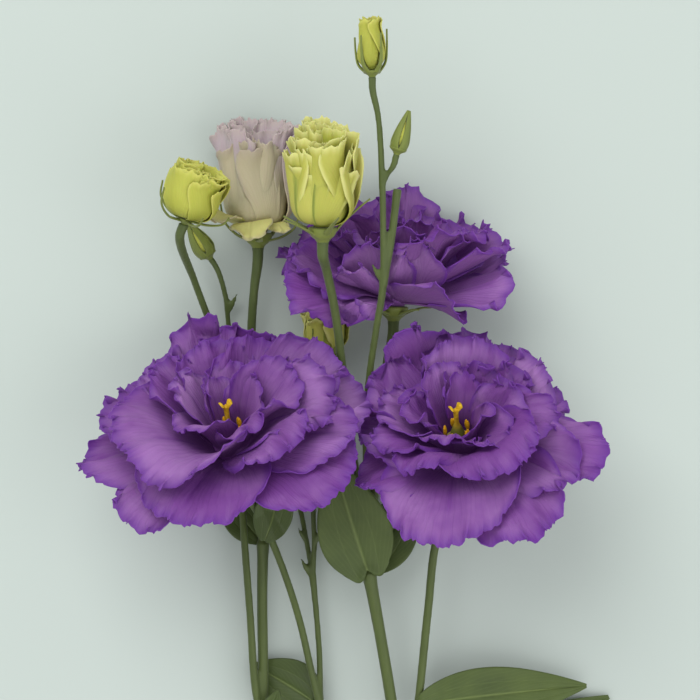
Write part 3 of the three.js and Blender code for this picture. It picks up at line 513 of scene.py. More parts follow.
@dataclass(frozen=True)
class PetalFinish:
    """Silky petal colour with fine veins that fan out from the root.

    The colour runs from root through body to margin. The dark root colour is painted shade where
    the purple petals crowd into the bloom's heart; on the lime petals root and vein are their own
    green base and veins, darkened by painted shade in the recesses, and on the others root is their
    own greener base. The lime petals' pale margin is their paler rims, lightened as painted
    highlight. light shows in clouds and on petals of a high tint, blush on the upper part of the
    palest petals, root all over those of no tint, outer on the backs, and stripe along the midrib
    as strongly as streak says. rim is how strongly the margin shows, and the strengths say the
    same of the rest. through is the strength of a painted glow in the body colour, which lifts the
    petals' shade as light through thin petals would.
    """

    name: str
    root: Colour
    body: Colour
    margin: Colour
    light: Colour
    vein: Colour
    outer: Colour
    blush: Colour
    vein_depth: float
    ribbing: float
    streak: float = 0.0
    rim: float = 0.8
    sheen: float = 0.12
    stripe: Colour = linear(96, 34, 132)
    glow: float = 0.35
    glow_reach: float = 0.0012
    glow_tint: Colour = (1.0, 0.6, 1.0)
    # strength of a painted glow: emission in the body colour that lifts the petals' shade
    through: float = 0.0
    veins: float = 46.0
    veinlets: float = 2.7
    vein_share: float = 0.65
    veinlet_share: float = 0.35
    fan: Span = (1.35, 0.35)  # how far the veins spread at the root, and how much that narrows
    waver: float = 0.09
    waves: Point = (3.0, 1.4, 9.0)  # across a petal, along it and from petal to petal
    clouds: float = 55.0
    grain: float = 900.0
    light_strength: float = 0.12
    cloud_strength: float = 0.55
    tint_strength: float = 0.9
    outer_strength: float = 0.7
    bare_strength: float = 0.75
    rib_relief: float = 0.7
    grain_relief: float = 0.4
    root_fade: Span = (0.05, 0.5)
    cloud_fade: Span = (0.35, 0.7)
    blush_tint: Span = (0.8, 0.92)
    blush_fade: Span = (0.3, 0.75)
    bare_tint: Span = (0.08, 0.0)
    vein_fade: Span = (1.05, 0.3)
    stripe_width: Span = (0.05, 0.0)
    stripe_fade: Span = (0.98, 0.35)
    edge_rim: Span = (0.74, 0.98)
    side_rim: Span = (0.44, 0.5)
    side_fade: Span = (0.25, 0.5)

    def material(self) -> bpy.types.Material:
        """Builds the material.

        Returns:
            The material.
        """
        shader = Shader(
            self.name,
            Sheen_Weight=self.sheen,
            Sheen_Roughness=0.4,
            Sheen_Tint=(*self.light, 1.0),
            Specular_IOR_Level=0.3,
            Subsurface_Weight=self.glow,
            Subsurface_Scale=self.glow_reach,
            Subsurface_Radius=self.glow_tint,
            # Painted glow: emission in the body colour lifts the shade, standing in for light
            # through the thin petals.
            Emission_Color=(*self.body, 1.0),
            Emission_Strength=self.through,
        )
        across, along = shader.uv()
        tint = shader.attribute("tint")
        place = shader.place()
        fan, ribs = self._veins(shader, across, along, tint)
        cloud = shader.noise(place, self.clouds, detail=3.0, rough=0.55)
        # Darker towards each petal's base: painted shade on the purple petals, the own green base
        # with painted shade on the lime ones, and the own greener base on the others.
        colour = shader.blend(self.root, self.body, along.ramp(*self.root_fade))
        lift = cloud.ramp(*self.cloud_fade) * self.cloud_strength
        lift = (lift + (tint - 0.5) * self.tint_strength + self.light_strength).clip()
        colour = shader.blend(colour, self.light, lift)
        back = shader.attribute("outer") * self.outer_strength
        colour = shader.blend(colour, self.outer, back)
        blush = tint.ramp(*self.blush_tint) * along.ramp(*self.blush_fade)
        colour = shader.blend(colour, self.blush, blush)
        bare = tint.ramp(*self.bare_tint) * self.bare_strength
        colour = shader.blend(colour, self.root, bare)
        depth = ribs * self.vein_depth * along.ramp(*self.vein_fade)
        colour = shader.blend(colour, self.vein, depth)
        if self.streak:
            middle = abs(fan).ramp(*self.stripe_width) * along.ramp(*self.stripe_fade)
            colour = shader.blend(colour, self.stripe, middle * self.streak)
        side = abs(across - 0.5).ramp(*self.side_rim) * along.ramp(*self.side_fade)
        rim = (along.ramp(*self.edge_rim) + side).clip() * self.rim
        shader.colour(shader.blend(colour, self.margin, rim))
        shader.roughness(cloud, least=0.42, spread=0.25)
        grain = shader.noise(place, self.grain, rough=0.6)
        shader.relief(ribs * self.rib_relief + grain * self.grain_relief, self.ribbing)
        return shader.material

    def _veins(
        self, shader: Shader, across: Field, along: Field, tint: Field
    ) -> tuple[Field, Field]:
        """Draws veins and finer veinlets that spread with the petal.

        Args:
            shader: The petal's shader.
            across: Places across the petal.
            along: Places along the petal.
            tint: The petal's tint, which sets how its veins waver.

        Returns:
            Places across the fan, 0 at the midrib, and the height of the veins, 0 to 1.
        """
        x, y, z = self.waves
        start, less = self.fan
        sway = shader.noise(shader.vector(across * x, along * y, tint * z), 2.0)
        fan = (across - 0.5) * (start - along * less) + (sway - 0.5) * self.waver
        lines = (fan * self.veins).stripes()
        fine = (fan * self.veins * self.veinlets).stripes()
        return fan, (lines ** 3.0) * self.vein_share + (fine ** 2.0) * self.veinlet_share


@dataclass(frozen=True)
class LeafFinish:
    """Matt, slightly waxy leaf green with a pale midrib, two side veins and a faint net."""

    name: str
    dark: Colour
    light: Colour
    rib: Colour
    clouds: float = 42.0
    waver: float = 90.0
    grain: float = 1300.0
    rib_width: Span = (0.045, 0.0)
    side_place: float = 0.21
    side_spread: float = 0.04
    side_width: Span = (0.02, 0.0)
    side_faintness: float = 0.6
    net: Point = (30.0, 24.0, 3.0)  # its lines across and along, and how far they waver
    net_sharpness: float = 6.0
    cloud_fade: Span = (0.3, 0.75)
    cloud_strength: float = 0.6
    tint_strength: float = 0.5
    rib_strength: float = 0.45
    side_strength: float = 0.2
    net_strength: float = 0.07
    rib_relief: float = 0.6
    grain_relief: float = 0.2
    side_relief: float = 0.3
    relief: float = 0.0003

    def material(self) -> bpy.types.Material:
        """Builds the material.

        Returns:
            The material.
        """
        shader = Shader(self.name, Specular_IOR_Level=0.35, Sheen_Weight=0.12)
        across, along = shader.uv()
        place = shader.place()
        cloud = shader.noise(place, self.clouds, detail=4.0, rough=0.55)
        sway = shader.noise(place, self.waver)
        off = abs(across - 0.5)
        rib = off.ramp(*self.rib_width)
        side = abs(off - self.side_place - along * self.side_spread).ramp(*self.side_width)
        side = side * self.side_faintness
        crosswise, lengthwise, waver = self.net
        net = (off * crosswise - along * lengthwise + sway * waver).stripes()
        tint = shader.attribute("tint")
        lift = cloud.ramp(*self.cloud_fade) * self.cloud_strength
        lift = (lift + tint * self.tint_strength).clip()
        colour = shader.blend(self.dark, self.light, lift)
        lines = rib * self.rib_strength + side * self.side_strength
        lines = (lines + (net ** self.net_sharpness) * self.net_strength).clip()
        shader.colour(shader.blend(colour, self.rib, lines))
        shader.roughness(cloud, least=0.42, spread=0.2)
        grain = shader.noise(place, self.grain)
        height = (1.0 - rib) * self.rib_relief + grain * self.grain_relief
        shader.relief(height - side * self.side_relief, self.relief)
        return shader.material


@dataclass(frozen=True)
class StalkFinish:
    """Smooth green stalk with faint lengthwise streaks and a paler bloom."""

    name: str
    dark: Colour
    light: Colour
    streaks: float = 700.0
    shortening: Point = (1.0, 0.12, 1.0)
    clouds: float = 24.0
    streak_strength: float = 0.6
    cloud_strength: float = 0.5
    shade: float = 0.05
    relief: float = 0.00012

    def material(self) -> bpy.types.Material:
        """Builds the material.

        Returns:
            The material.
        """
        shader = Shader(self.name, Specular_IOR_Level=0.35, Sheen_Weight=0.15)
        place = shader.place()
        long = shader.node("Mapping", {}, Vector=place, Scale=self.shortening).outputs[0]
        streaks = shader.noise(long, self.streaks, detail=3.0, rough=0.6)
        cloud = shader.noise(place, self.clouds, detail=3.0)
        lift = streaks * self.streak_strength + cloud * self.cloud_strength - self.shade
        shader.colour(shader.blend(self.dark, self.light, lift.clip()))
        shader.roughness(cloud, least=0.4, spread=0.2)
        shader.relief(streaks, self.relief)
        return shader.material


@dataclass(frozen=True)
class PollenFinish:
    """Powdery yellow of anthers and stigma, on a stalk that is green at its foot."""

    name: str
    dark: Colour
    light: Colour
    foot: Colour
    grain: float = 2200.0
    ripe_along: Span = (0.45, 0.8)
    ripe_tint: Span = (0.6, 0.9)
    grain_fade: Span = (0.3, 0.7)
    relief: float = 0.00012

    def material(self) -> bpy.types.Material:
        """Builds the material.

        Returns:
            The material.
        """
        shader = Shader(self.name, Specular_IOR_Level=0.2)
        place = shader.place()
        grain = shader.noise(place, self.grain, rough=0.6)
        _, along = shader.uv()
        ripe = along.ramp(*self.ripe_along) + shader.attribute("tint").ramp(*self.ripe_tint)
        ripe = ripe.clip()
        yellow = shader.blend(self.dark, self.light, grain.ramp(*self.grain_fade))
        shader.colour(shader.blend(self.foot, yellow, ripe))
        shader.roughness(grain, least=0.55, spread=0.2)
        shader.relief(grain, self.relief)
        return shader.material


PURPLE = PetalFinish(
    "purple_petal",
    # root: painted shade where the petals crowd into the bloom's heart
    root=linear(60, 24, 74),
    body=linear(114, 62, 138),
    margin=linear(94, 40, 138),
    light=linear(156, 112, 172),
    vein=linear(84, 36, 106),
    outer=linear(120, 80, 134),
    blush=linear(156, 112, 172),
    vein_depth=0.22,
    streak=0.3,
    ribbing=0.00012,
    # painted glow that lifts the purple petals' shade
    through=0.05,
)
CREAM = PetalFinish(
    "cream_petal",
    root=linear(196, 194, 108),
    body=linear(172, 163, 130),
    margin=linear(178, 166, 152),
    light=linear(190, 180, 152),
    vein=linear(148, 138, 106),
    outer=linear(178, 168, 140),
    blush=linear(184, 168, 174),
    vein_depth=0.16,
    rim=0.5,
    sheen=0.1,
    ribbing=0.00005,
    glow=0.2,
)
LIME = PetalFinish(
    "lime_petal",
    # root and vein: the lime petals' own green base and veins, darkened further as painted shade in
    # the recesses
    root=linear(120, 134, 44),
    body=linear(160, 163, 58),
    # margin: the lime petals' paler rims, lightened as painted highlight
    margin=linear(216, 215, 140),
    light=linear(198, 195, 104),
    vein=linear(130, 142, 48),
    outer=linear(176, 174, 80),
    blush=linear(178, 182, 70),
    vein_depth=0.14,
    streak=0.7,
    rim=0.7,
    sheen=0.1,
    ribbing=0.00005,
    stripe=linear(88, 112, 38),
    glow=0.2,
)
BUD = PetalFinish(
    "bud_petal",
    root=linear(118, 134, 44),
    body=linear(168, 171, 64),
    margin=linear(196, 195, 98),
    light=linear(192, 192, 94),
    vein=linear(128, 142, 48),
    outer=linear(170, 172, 68),
    blush=linear(192, 192, 94),
    vein_depth=0.16,
    sheen=0.1,
    ribbing=0.00005,
    glow=0.2,
)
SEPAL = StalkFinish("sepal", linear(82, 96, 34), linear(132, 142, 62))
STALK = StalkFinish("stem", linear(48, 62, 24), linear(92, 106, 50))
LEAF = LeafFinish("leaf", linear(46, 62, 20), linear(84, 100, 44), linear(120, 136, 76))
PISTIL = PollenFinish(
    "pistil", linear(186, 146, 20), linear(226, 186, 48), linear(104, 108, 44), grain=900.0
)
STAMEN = PollenFinish("stamen", linear(196, 132, 8), linear(246, 196, 36), linear(150, 150, 92))


# The stems


class Side(Enum):
    """Which side of a stem a blade lies on, with the sign of the way up."""

    OVER = 1.0
    UNDER = -1.0


MAIN_NODE: Point = (-4.7, -113.2, 5.4)
LEFT_NODE: Point = (-27.6, -58.3, 7)
MIDDLE_NODE: Point = (-9.3, -53.3, 7.5)
RIGHT_NODE: Point = (17.1, -82.5, 8)
LEFT_LEAF_NODE: Point = (-27.3, -1.6, 8)
FORK: Point = (-11.8, -11.5, 6.5)
RIGHT_LEAF_NODE: Point = (5.9, -10.8, 16)
TOP_FORK: Point = (10.2, 79, 38)
SIDE_FORK: Point = (9.9, 109.4, 45.8)
CALYX_GAP = 0.3  # between a stalk's end, its calyx and what the calyx holds
NECK = 4.5  # the straight end of a stalk under its bloom


@dataclass(frozen=True)
class Head:
    """Where a bloom or bud sits and which way it looks.

    seat is the place of its calyx on the stalk. facing is the lean of its axis from straight up
    towards the top of the stem, and aside how far that lean turns to the right, in degrees.
    """

    seat: Point
    facing: float
    aside: float

    def matrix(self) -> np.ndarray:
        """Works out which way its own frame is turned.

        Returns:
            Its right, back and axis directions in the layout, as columns.
        """
        lean, turn = math.radians(self.facing), math.radians(self.aside)
        flat = math.sin(lean)
        axis = np.array([flat * math.sin(turn), flat * math.cos(turn), math.cos(lean)])
        right = np.array([1.0, 0, 0]) - axis * axis[0]
        right /= np.linalg.norm(right)
        return np.column_stack([right, np.cross(axis, right), axis])

    def out(self, local: np.ndarray) -> np.ndarray:
        """Takes local points to the layout."""
        return local @ self.matrix().T + np.array(self.seat)


HEADS = {
    "left": Head((-35.5, 21.5, 23), 52, -8),
    "right": Head((34.5, 21.5, 24), 48, -6),
    "upper": Head((13.6, 68.5, 17), 86, 2),
    "cream": Head((-28.8, 91.5, 12.4), 88, 1),
    "lime": Head((-8.4, 92.6, 45), 82, 0),
    "small": Head((-51.2, 98.2, 34), 76, 20),
    "hidden": Head((-8.2, 56, 11.5), 84, 2),
    "top": Head((6.8, 143, 50), 87, -2),
    "side": Head((14.4, 119.4, 48.6), 84, 16),
    "green": Head((-44, 88, 9.6), 78, -32),
}

BRANCHES: dict[str, Path] = {
    "main": [
        (-4.7, -161.8, 2.86, 3.1), (-4.3, -142.6, 2.86, 3.1), (-4.9, -126, 3.2, 3),
        (*MAIN_NODE, 3.3),
    ],
    "to_left": [
        (*MAIN_NODE, 2.4), (-15.5, -96.1, 5.6, 2.3), (-25.4, -74.4, 6, 2.2), (*LEFT_NODE, 2.4),
    ],
    "to_middle": [
        (*MAIN_NODE, 2.3), (-5.9, -93, 5.6, 2.2), (-7.4, -71.3, 6, 2.1), (*MIDDLE_NODE, 2.3),
    ],
    "to_right": [(*MAIN_NODE, 2.6), (4.7, -99.2, 6, 2.5), (*RIGHT_NODE, 2.7)],
    "to_left_leaves": [
        (*LEFT_NODE, 1.7), (-27.3, -43.4, 6.5, 1.7), (-27.6, -18.6, 7, 1.7),
        (*LEFT_LEAF_NODE, 1.87),
    ],
    "to_fork": [
        (*MIDDLE_NODE, 1.05), (-9.6, -37.2, 7, 0.98), (-10.5, -24.8, 6.5, 0.98), (*FORK, 1.12),
    ],
    "to_right_leaves": [
        (*RIGHT_NODE, 1.85), (14.9, -65.1, 9.5, 1.85), (12.7, -49.6, 11, 1.85),
        (9.3, -29.4, 13.5, 1.85), (*RIGHT_LEAF_NODE, 2.11),
    ],
    "stub": [(*TOP_FORK, 1.26), (12.7, 93, 41, 1.26), (14.6, 108.5, 42.5, 1.26)],
}

STALKS: dict[str, tuple[float, Path]] = {
    "small": (
        1.56,
        [
            (*LEFT_NODE, 1.36), (-29.8, -46.5, 8.5, 1.29), (-31.3, -24.8, 9.5, 1.22),
            (-33.2, 0, 9, 1.22), (-35, 27.9, 6.6, 1.16), (-38.4, 52.7, 5.8, 1.16),
            (-44, 67.6, 8.5, 1.16), (-48.7, 80.6, 15, 1.16),
        ],
    ),
    "cream": (
        1.76,
        [
            (*LEFT_LEAF_NODE, 1.44), (-29.1, 18.6, 6.5, 1.44), (-30.7, 43.4, 5.5, 1.44),
            (-31, 63.5, 6.5, 1.44), (-30.1, 77.5, 10, 1.44),
        ],
    ),
    "left": (
        1.72,
        [
            (*MIDDLE_NODE, 1.26), (-11.8, -43.4, 9, 1.19), (-16.1, -24.8, 11.5, 1.19),
            (-22.3, -6.2, 13.5, 1.19), (-28.3, 7.3, 15, 1.26),
        ],
    ),
    "green": (
        0.96,
        [
            (*FORK, 0.88), (-13.9, 0, 5.2, 0.88), (-15.8, 9.3, 4.2, 0.88),
            (-20.1, 21.7, 3, 0.88), (-27.3, 37.2, 2.2, 0.88), (-34.7, 51.1, 2.2, 0.88),
            (-38, 65.1, 3, 0.88), (-39.2, 76, 5.6, 0.88),
        ],
    ),
    "hidden": (
        1.09,
        [
            (*FORK, 0.98), (-11.2, -1.6, 8, 0.9), (-11.5, 7.8, 9, 0.9), (-10.5, 31, 9.5, 0.9),
            (-8.9, 46, 10.4, 0.98),
        ],
    ),
    "lime": (
        1.79,
        [
            (*RIGHT_LEAF_NODE, 1.41), (1.9, 18.6, 17, 1.41), (-1.2, 43.4, 18.5, 1.41),
            (-2.5, 54.2, 22.5, 1.41), (-4.7, 71.3, 32, 1.41), (-7.4, 84.2, 40, 1.48),
        ],
    ),
    "top": (
        1.17,
        [
            (*RIGHT_LEAF_NODE, 1.16), (5.3, 12.4, 18, 1.16), (5, 34.1, 20, 1.16),
            (5.9, 49.6, 23.5, 1.16), (8.1, 65.1, 31, 1.16), (*TOP_FORK, 1.22),
            (10.2, 96.1, 43, 1.02), (*SIDE_FORK, 1.09), (8.7, 130.2, 48, 0.95),
        ],
    ),
    "side": (0.96, [(*SIDE_FORK, 0.8), (11.6, 113, 46.8, 0.8)]),
    "upper": (
        1.79,
        [
            (*RIGHT_LEAF_NODE, 1.48), (7.4, 12.4, 14, 1.48), (9, 34.1, 13, 1.48),
            (11.5, 54.2, 15, 1.48),
        ],
    ),
    "right": (
        1.79,
        [
            (*RIGHT_NODE, 1.43), (19.8, -65.1, 9, 1.36), (22, -46.5, 11, 1.36),
            (24.5, -21.7, 14, 1.36), (27.2, 0, 16, 1.36),
        ],
    ),
}
STEM_NAMES = (*BRANCHES, *STALKS)


def stalk_path(name: str) -> Path:
    """Follows a branch, or a stalk with its straight end under the bloom.

    Args:
        name: Which branch or stalk.

    Returns:
        Points of three numbers and a radius.
    """
    if name in BRANCHES:
        return BRANCHES[name]
    radius, path = STALKS[name]
    ends = HEADS[name].out(np.array([[0, 0, -NECK], [0, 0, -CALYX_GAP]]))
    return [*path, *((*map(float, end), radius) for end in ends)]


@dataclass(frozen=True)
class Settling:
    """What a blade lies on: the surface, and stems that it goes over or under.

    clearance is its room from a stem, which falls off with slope beside the stem. A point more
    than free over the surface stays as it is.
    """

    over: tuple[str, ...] = ()
    under: tuple[str, ...] = ()
    clearance: float = 0.8
    slope: float = 0.5
    free: float = 20.0

    def settle(self, points: np.ndarray, floor: float) -> np.ndarray:
        """Lifts or lowers layout points until they clear all of it.

        Args:
            points: The points, which stay as they are.
            floor: How high over the surface the lowest of them may lie.

        Returns:
            The settled points.
        """
        settled = points.copy()
        for side, names in ((Side.OVER, self.over), (Side.UNDER, self.under)):
            for name in names:
                bound = self._bound(settled, stalk_path(name), side)
                if side is Side.OVER:
                    settled[:, 2] = np.maximum(settled[:, 2], bound)
                else:
                    settled[:, 2] = np.minimum(settled[:, 2], bound)
        height = np.minimum(settled[:, 2] - floor, self.free + 10.0)
        soft = floor + np.log1p(np.exp(height))
        settled[:, 2] = np.where(height < self.free, soft, settled[:, 2])
        return settled

    def _bound(self, points: np.ndarray, path: Path, side: Side) -> np.ndarray:
        """Measures how high points must be to clear one stem.

        Args:
            points: The points.
            path: The stem's points and radii.
            side: Which side of the stem they lie on.

        Returns:
            The lowest height over the stem, or the highest under it, for each point.
        """
        line = np.array(path, float)
        start, step = line[:-1], np.diff(line, axis=0)
        rel = points[:, None, :2] - start[None, :, :2]
        length = (step[:, :2] ** 2).sum(1)
        share = np.clip((rel * step[None, :, :2]).sum(2) / length, 0, 1)
        near = start[None] + share[..., None] * step[None]
        apart = np.hypot(near[..., 0] - points[:, None, 0], near[..., 1] - points[:, None, 1])
        best = apart.argmin(1)
        rows = np.arange(len(points))
        apart, near = apart[rows, best], near[rows, best]
        room = near[:, 3] + self.clearance - self.slope * np.maximum(0, apart - near[:, 3])
        return near[:, 2] + side.value * room


@dataclass
class StemWork:
    """All the branches, joined at their forks into one smooth body.

    step and sides set how fine a branch's grid is, and voxel how fine the joined body is.
    swelling is how much thicker a branch is at a fork, over the length swelling_reach.
    """

    sides: int = 18
    step: float = 2.2
    voxel: float = 0.52
    smoothing: float = 0.5
    swelling: float = 0.16
    swelling_reach: float = 3.0
    look_ahead: float = 0.004
    bract_thickness: float = 0.9
    bract_curl: tuple[float, float] = (0.5, 0.6)  # across it and along it
    bract_taper: tuple[float, float] = (0.25, 0.72)
    bract_grid: tuple[int, int] = (4, 10)
    bracts: tuple[tuple[Point, Point, float], ...] = (
        ((-12.6, -11.8, 6.6), (-15.4, -6.6, 7.6), 0.8),
        ((-11.2, -2, 8.2), (-8.6, 2.6, 9.8), 0.8),
        ((-13.6, -1.6, 5.6), (-16.4, 3.2, 6.4), 0.7),
        ((-38.2, 71, 4.4), (-35.6, 76.4, 6), 0.8),
        ((9.6, 80.4, 38.4), (6.8, 85.4, 39.8), 0.8),
        ((12.2, 113.8, 47), (14.6, 116.6, 48.4), 0.7),
    )

    def tube(self, name: str) -> bpy.types.Object:
        """Makes one branch, a little thicker where it forks, with rounded ends.

        Args:
            name: Which branch or stalk.

        Returns:
            A closed tube.
        """
        path = stalk_path(name)
        line = np.array(path, float)
        length = np.linalg.norm(np.diff(line[:, :3], axis=0), axis=1).sum()
        rows = max(8, round(length / self.step)) + 2
        cap = 0.4 / rows

        def sheet(along: np.ndarray, across: np.ndarray) -> np.ndarray:
            """Rolls the grid round the branch's line.

            Args:
                along: Places along the branch.
                across: Places round it.

            Returns:
                Layout points.
            """
            share = np.clip((along * rows - 1) / (rows - 2), 0, 1)
            ahead = smooth_line(path, np.minimum(share + self.look_ahead, 1))
            behind = smooth_line(path, np.maximum(share - self.look_ahead, 0))
            centre = smooth_line(path, share)
            tangent = ahead - behind
            tangent /= np.linalg.norm(tangent, axis=1)[:, None]
            aside = np.cross(tangent, UP)
            aside /= np.linalg.norm(aside, axis=1)[:, None]
            over = np.cross(aside, tangent)
            radius = np.interp(share, np.linspace(0, 1, len(line)), line[:, 3])
            from_end = np.minimum(share, 1 - share) * length
            radius = radius * (1 + self.swelling * bell(from_end, self.swelling_reach))
            radius = np.where((along < cap) | (along > 1 - cap), 0, radius)
            turn = across * math.pi
            points = centre + radius[:, None] * (
                aside * np.cos(turn)[:, None] + over * np.sin(turn)[:, None]
            )
            points[:, 2] = np.maximum(points[:, 2], 0.0)
            return points

        return rolled(sheet, self.sides, rows)

    def bract(self, root: Point, tip: Point, half: float) -> bpy.types.Object:
        """Makes one small pointed bract.

        Args:
            root: Where it grows from.
            tip: Where it ends.
            half: Half its width.

        Returns:
            A closed blade.
        """
        start, end = np.array(root), np.array(tip)
        aside = np.cross(end - start, UP)
        aside /= np.linalg.norm(aside)
        cup, curl = self.bract_curl
        first, span = self.bract_taper

        def sheet(along: np.ndarray, across: np.ndarray) -> np.ndarray:
            """Lays a narrow pointed sheet from root to tip.

            Args:
                along: Places along the bract.
                across: Places across it.

            Returns:
                Layout points.
            """
            width = half * np.sin(math.pi * (first + span * along))
            points = start + (end - start) * along[:, None] + aside * (across * width)[:, None]
            points[:, 2] += cup * np.abs(across) * width + curl * along**2
            return points

        piece = blade(sheet, *self.bract_grid)
        apply(piece, "SOLIDIFY", thickness=self.bract_thickness * MM, offset=0)
        return piece

    def build(self, material: bpy.types.Material) -> bpy.types.Object:
        """Makes and dresses the stem.

        Args:
            material: The stalks' green.

        Returns:
            The stem.
        """
        pieces = [self.tube(name) for name in STEM_NAMES]
        pieces += [self.bract(*bract) for bract in self.bracts]
        whole = join(pieces, "green_stem")
        apply(whole, "REMESH", mode="VOXEL", voxel_size=self.voxel * MM, adaptivity=0.0)
        apply(whole, "SMOOTH", factor=self.smoothing, iterations=3)
        return finish(whole, "stem", material)


# Leaves


@dataclass
class Leaf:
    """One broad pointed leaf with a sunk midrib and two fainter side veins.

    rib holds the three points that its midrib bends by, from root to tip. half is half its
    width, and fold the angle that its halves rise at. base is how wide it starts, and heart how
    far its two lobes reach back past its root. Depths and widths of veins are millimetres and
    shares of half.
    """

    node: str
    rib: tuple[Point, Point, Point]
    half: float
    fold: float
    side: Side = Side.UNDER
    base: float = 0.05
    tint: float = 0.5
    heart: float = 0.6
    clearance: float = 0.7
    floor: float = 0.4
    thickness: float = 0.55
    least_half: float = 0.25
    tip: float = 0.985
    taper: tuple[float, float] = (0.8, 0.9)
    rib_depth: float = 0.3
    rib_width: float = 0.07
    vein_depth: float = 0.16
    vein_place: float = 0.45
    vein_width: float = 0.05
    ripple: float = 0.5
    ripples: tuple[float, float] = (9, 2.5)  # along it and across it
    ripple_fade: Span = (0.08, 0.3)
    columns: int = 24
    rows: int = 44

    def build(self, material: bpy.types.Material) -> bpy.types.Object:
        """Makes and dresses the leaf.

        Args:
            material: The leaves' green.

        Returns:
            The leaf.
        """
        where = "over" if self.side is Side.OVER else "under"
        rules = Settling(clearance=self.clearance, **{where: STEM_NAMES})
        belly, bluntness = self.taper
        lengthwise, crosswise = self.ripples

        def sheet(along: np.ndarray, across: np.ndarray) -> np.ndarray:
            """Lays the blade along its midrib.

            Args:
                along: Places along the leaf.
                across: Places across it.

            Returns:
                Layout points.
            """
            a, b, c = (np.array(point) for point in self.rib)
            t = along[:, None]
            centre = (1 - t) ** 2 * a + 2 * t * (1 - t) * b + t**2 * c
            tangent = 2 * (1 - t) * (b - a) + 2 * t * (c - b)
            aside = np.cross(tangent, UP)
            aside /= np.linalg.norm(aside, axis=1)[:, None]
            profile = np.sin(math.pi * mix(self.base, self.tip, along) ** belly) ** bluntness
            width = np.maximum(self.least_half, self.half * profile)
            tilt = math.radians(self.fold)
            points = centre + aside * (across * width * math.cos(tilt))[:, None]
            size = np.abs(across)
            back = self.heart * np.sin(math.pi * size) * (1 - ease(0, 0.3, along))
            points -= tangent / np.linalg.norm(tangent, axis=1)[:, None] * back[:, None]
            points[:, 2] += size * width * math.sin(tilt)
            midrib = self.rib_depth * bell(across, self.rib_width)
            points[:, 2] -= midrib + self.vein_depth * bell(size - self.vein_place, self.vein_width)
            wave = np.sin(along * lengthwise + across * crosswise) * ease(*self.ripple_fade, along)
            points[:, 2] += self.ripple * size**2 * wave
            return rules.settle(points, self.floor)

        piece = blade(sheet, self.columns, self.rows, self.tint)
        apply(piece, "SOLIDIFY", thickness=self.thickness * MM, offset=0)
        piece.name = self.node.replace("leaf_", "green_leaf_")
        return finish(piece, self.node, material)


LEAVES = [
    Leaf("leaf_left_front", ((-26.6, -0.6, 10), (-23, 8.6, 17), (-21, 22, 19)), 6.4, 20, Side.OVER),
    Leaf("leaf_left_back", ((-28.2, -1, 6), (-34.4, 6.6, 4), (-42.6, 16.4, 2)), 6, 4),
    Leaf(
        "leaf_middle_front", ((5.4, -9.8, 18), (0.4, 4.4, 22), (-5.6, 26, 22.4)), 11.6, 5,
        Side.OVER, base=0.12, tint=0.6, heart=3.2,
    ),
    Leaf("leaf_middle_back", ((6.6, -10, 14), (13.4, 2.4, 9.6), (20.4, 17, 8)), 8.6, 4, tint=0.2),
    Leaf(
        "leaf_low_front", ((-27.4, -57.8, 9), (-24, -52.6, 11), (-22.4, -47.6, 12)), 3, 8, Side.OVER
    ),
    Leaf("leaf_low_left", ((-10, -52.8, 6), (-20.6, -45.2, 3), (-30.8, -40.4, 1.6)), 8.6, 3),
    Leaf("leaf_right", ((22, -52, 11), (46.5, -48.6, 11), (74.4, -46.8, 4.4)), 9, 6, Side.OVER),
    Leaf("leaf_right_low", ((18.8, -82.6, 6), (49, -66, 2.6), (81.6, -50.4, 1.2)), 10.4, 3),
    Leaf("leaf_right_inner", ((14.6, -82, 6), (7, -72.4, 2.6), (1, -61.6, 1.4)), 7.4, 3),
    Leaf("leaf_main_left", ((-6.9, -111.6, 3), (-24, -97, 0.9), (-42.6, -84.6, 0.6)), 10.5, 2),
    Leaf("leaf_main_right", ((-2.5, -112.6, 3), (18, -105.6, 0.9), (41, -96.4, 0.6)), 10.5, 2),
]


# Petals


@dataclass(frozen=True)
class Petal:
    """One petal. Angles are degrees from the bloom's axis, lengths millimetres.

    at is its place round the axis: 0 to the right, 90 away from the viewer, 270 towards them.
    out holds its lean at the root and at share by of its length, and lip how far its edge rolls.
    reach and lift are the radius and height that it starts at, root and half its half width
    there and at its widest. round takes off its corners, cup raises its sides, and twist turns
    it so that it passes over one neighbour and under the other. wave and waves are the size and
    number of its broad waves, frill and fine the strength of all ruffles and of the fine ones,
    ragged the depth of its teeth, and tint its shade, which is drawn when it is below 0.
    """

    at: float
    out: tuple[float, float]
    length: float
    half: float
    phase: float
    lip: float = 0.0
    by: float = 1.0
    lift: float = 0.0
    root: float = 2.0
    reach: float = 3.4
    round: float = 0.26
    cup: float = 1.0
    twist: float = 11.0
    wave: float = 2.0
    waves: float = 1.3
    frill: float = 1.0
    ragged: float = 0.02
    fine: float = 1.0
    tint: float = -1.0


@dataclass(frozen=True)
class Ruffle:
    """Waves across a petal, and the share of its length that they start at."""

    cycles: float
    size: float
    start: float
    phase: float = 0.0


ANY_PHASE = (0, 6.28)
TEETH = (3.1, 7.3, 12.7)  # cusps across half of a broad petal's edge
RUFFLES = (  # those of a broad petal
    Ruffle(1.7, 1.2, 0.35),
    Ruffle(3.2, 1.5, 0.64),
    Ruffle(6.1, 1.6, 0.79),
    Ruffle(10.3, 1.35, 0.86),
    Ruffle(17.0, 0.7, 0.9),
)
ROOT = 4.3  # where the petals of an open or half-open bloom start over its head
BUD_ROOT = 1.9


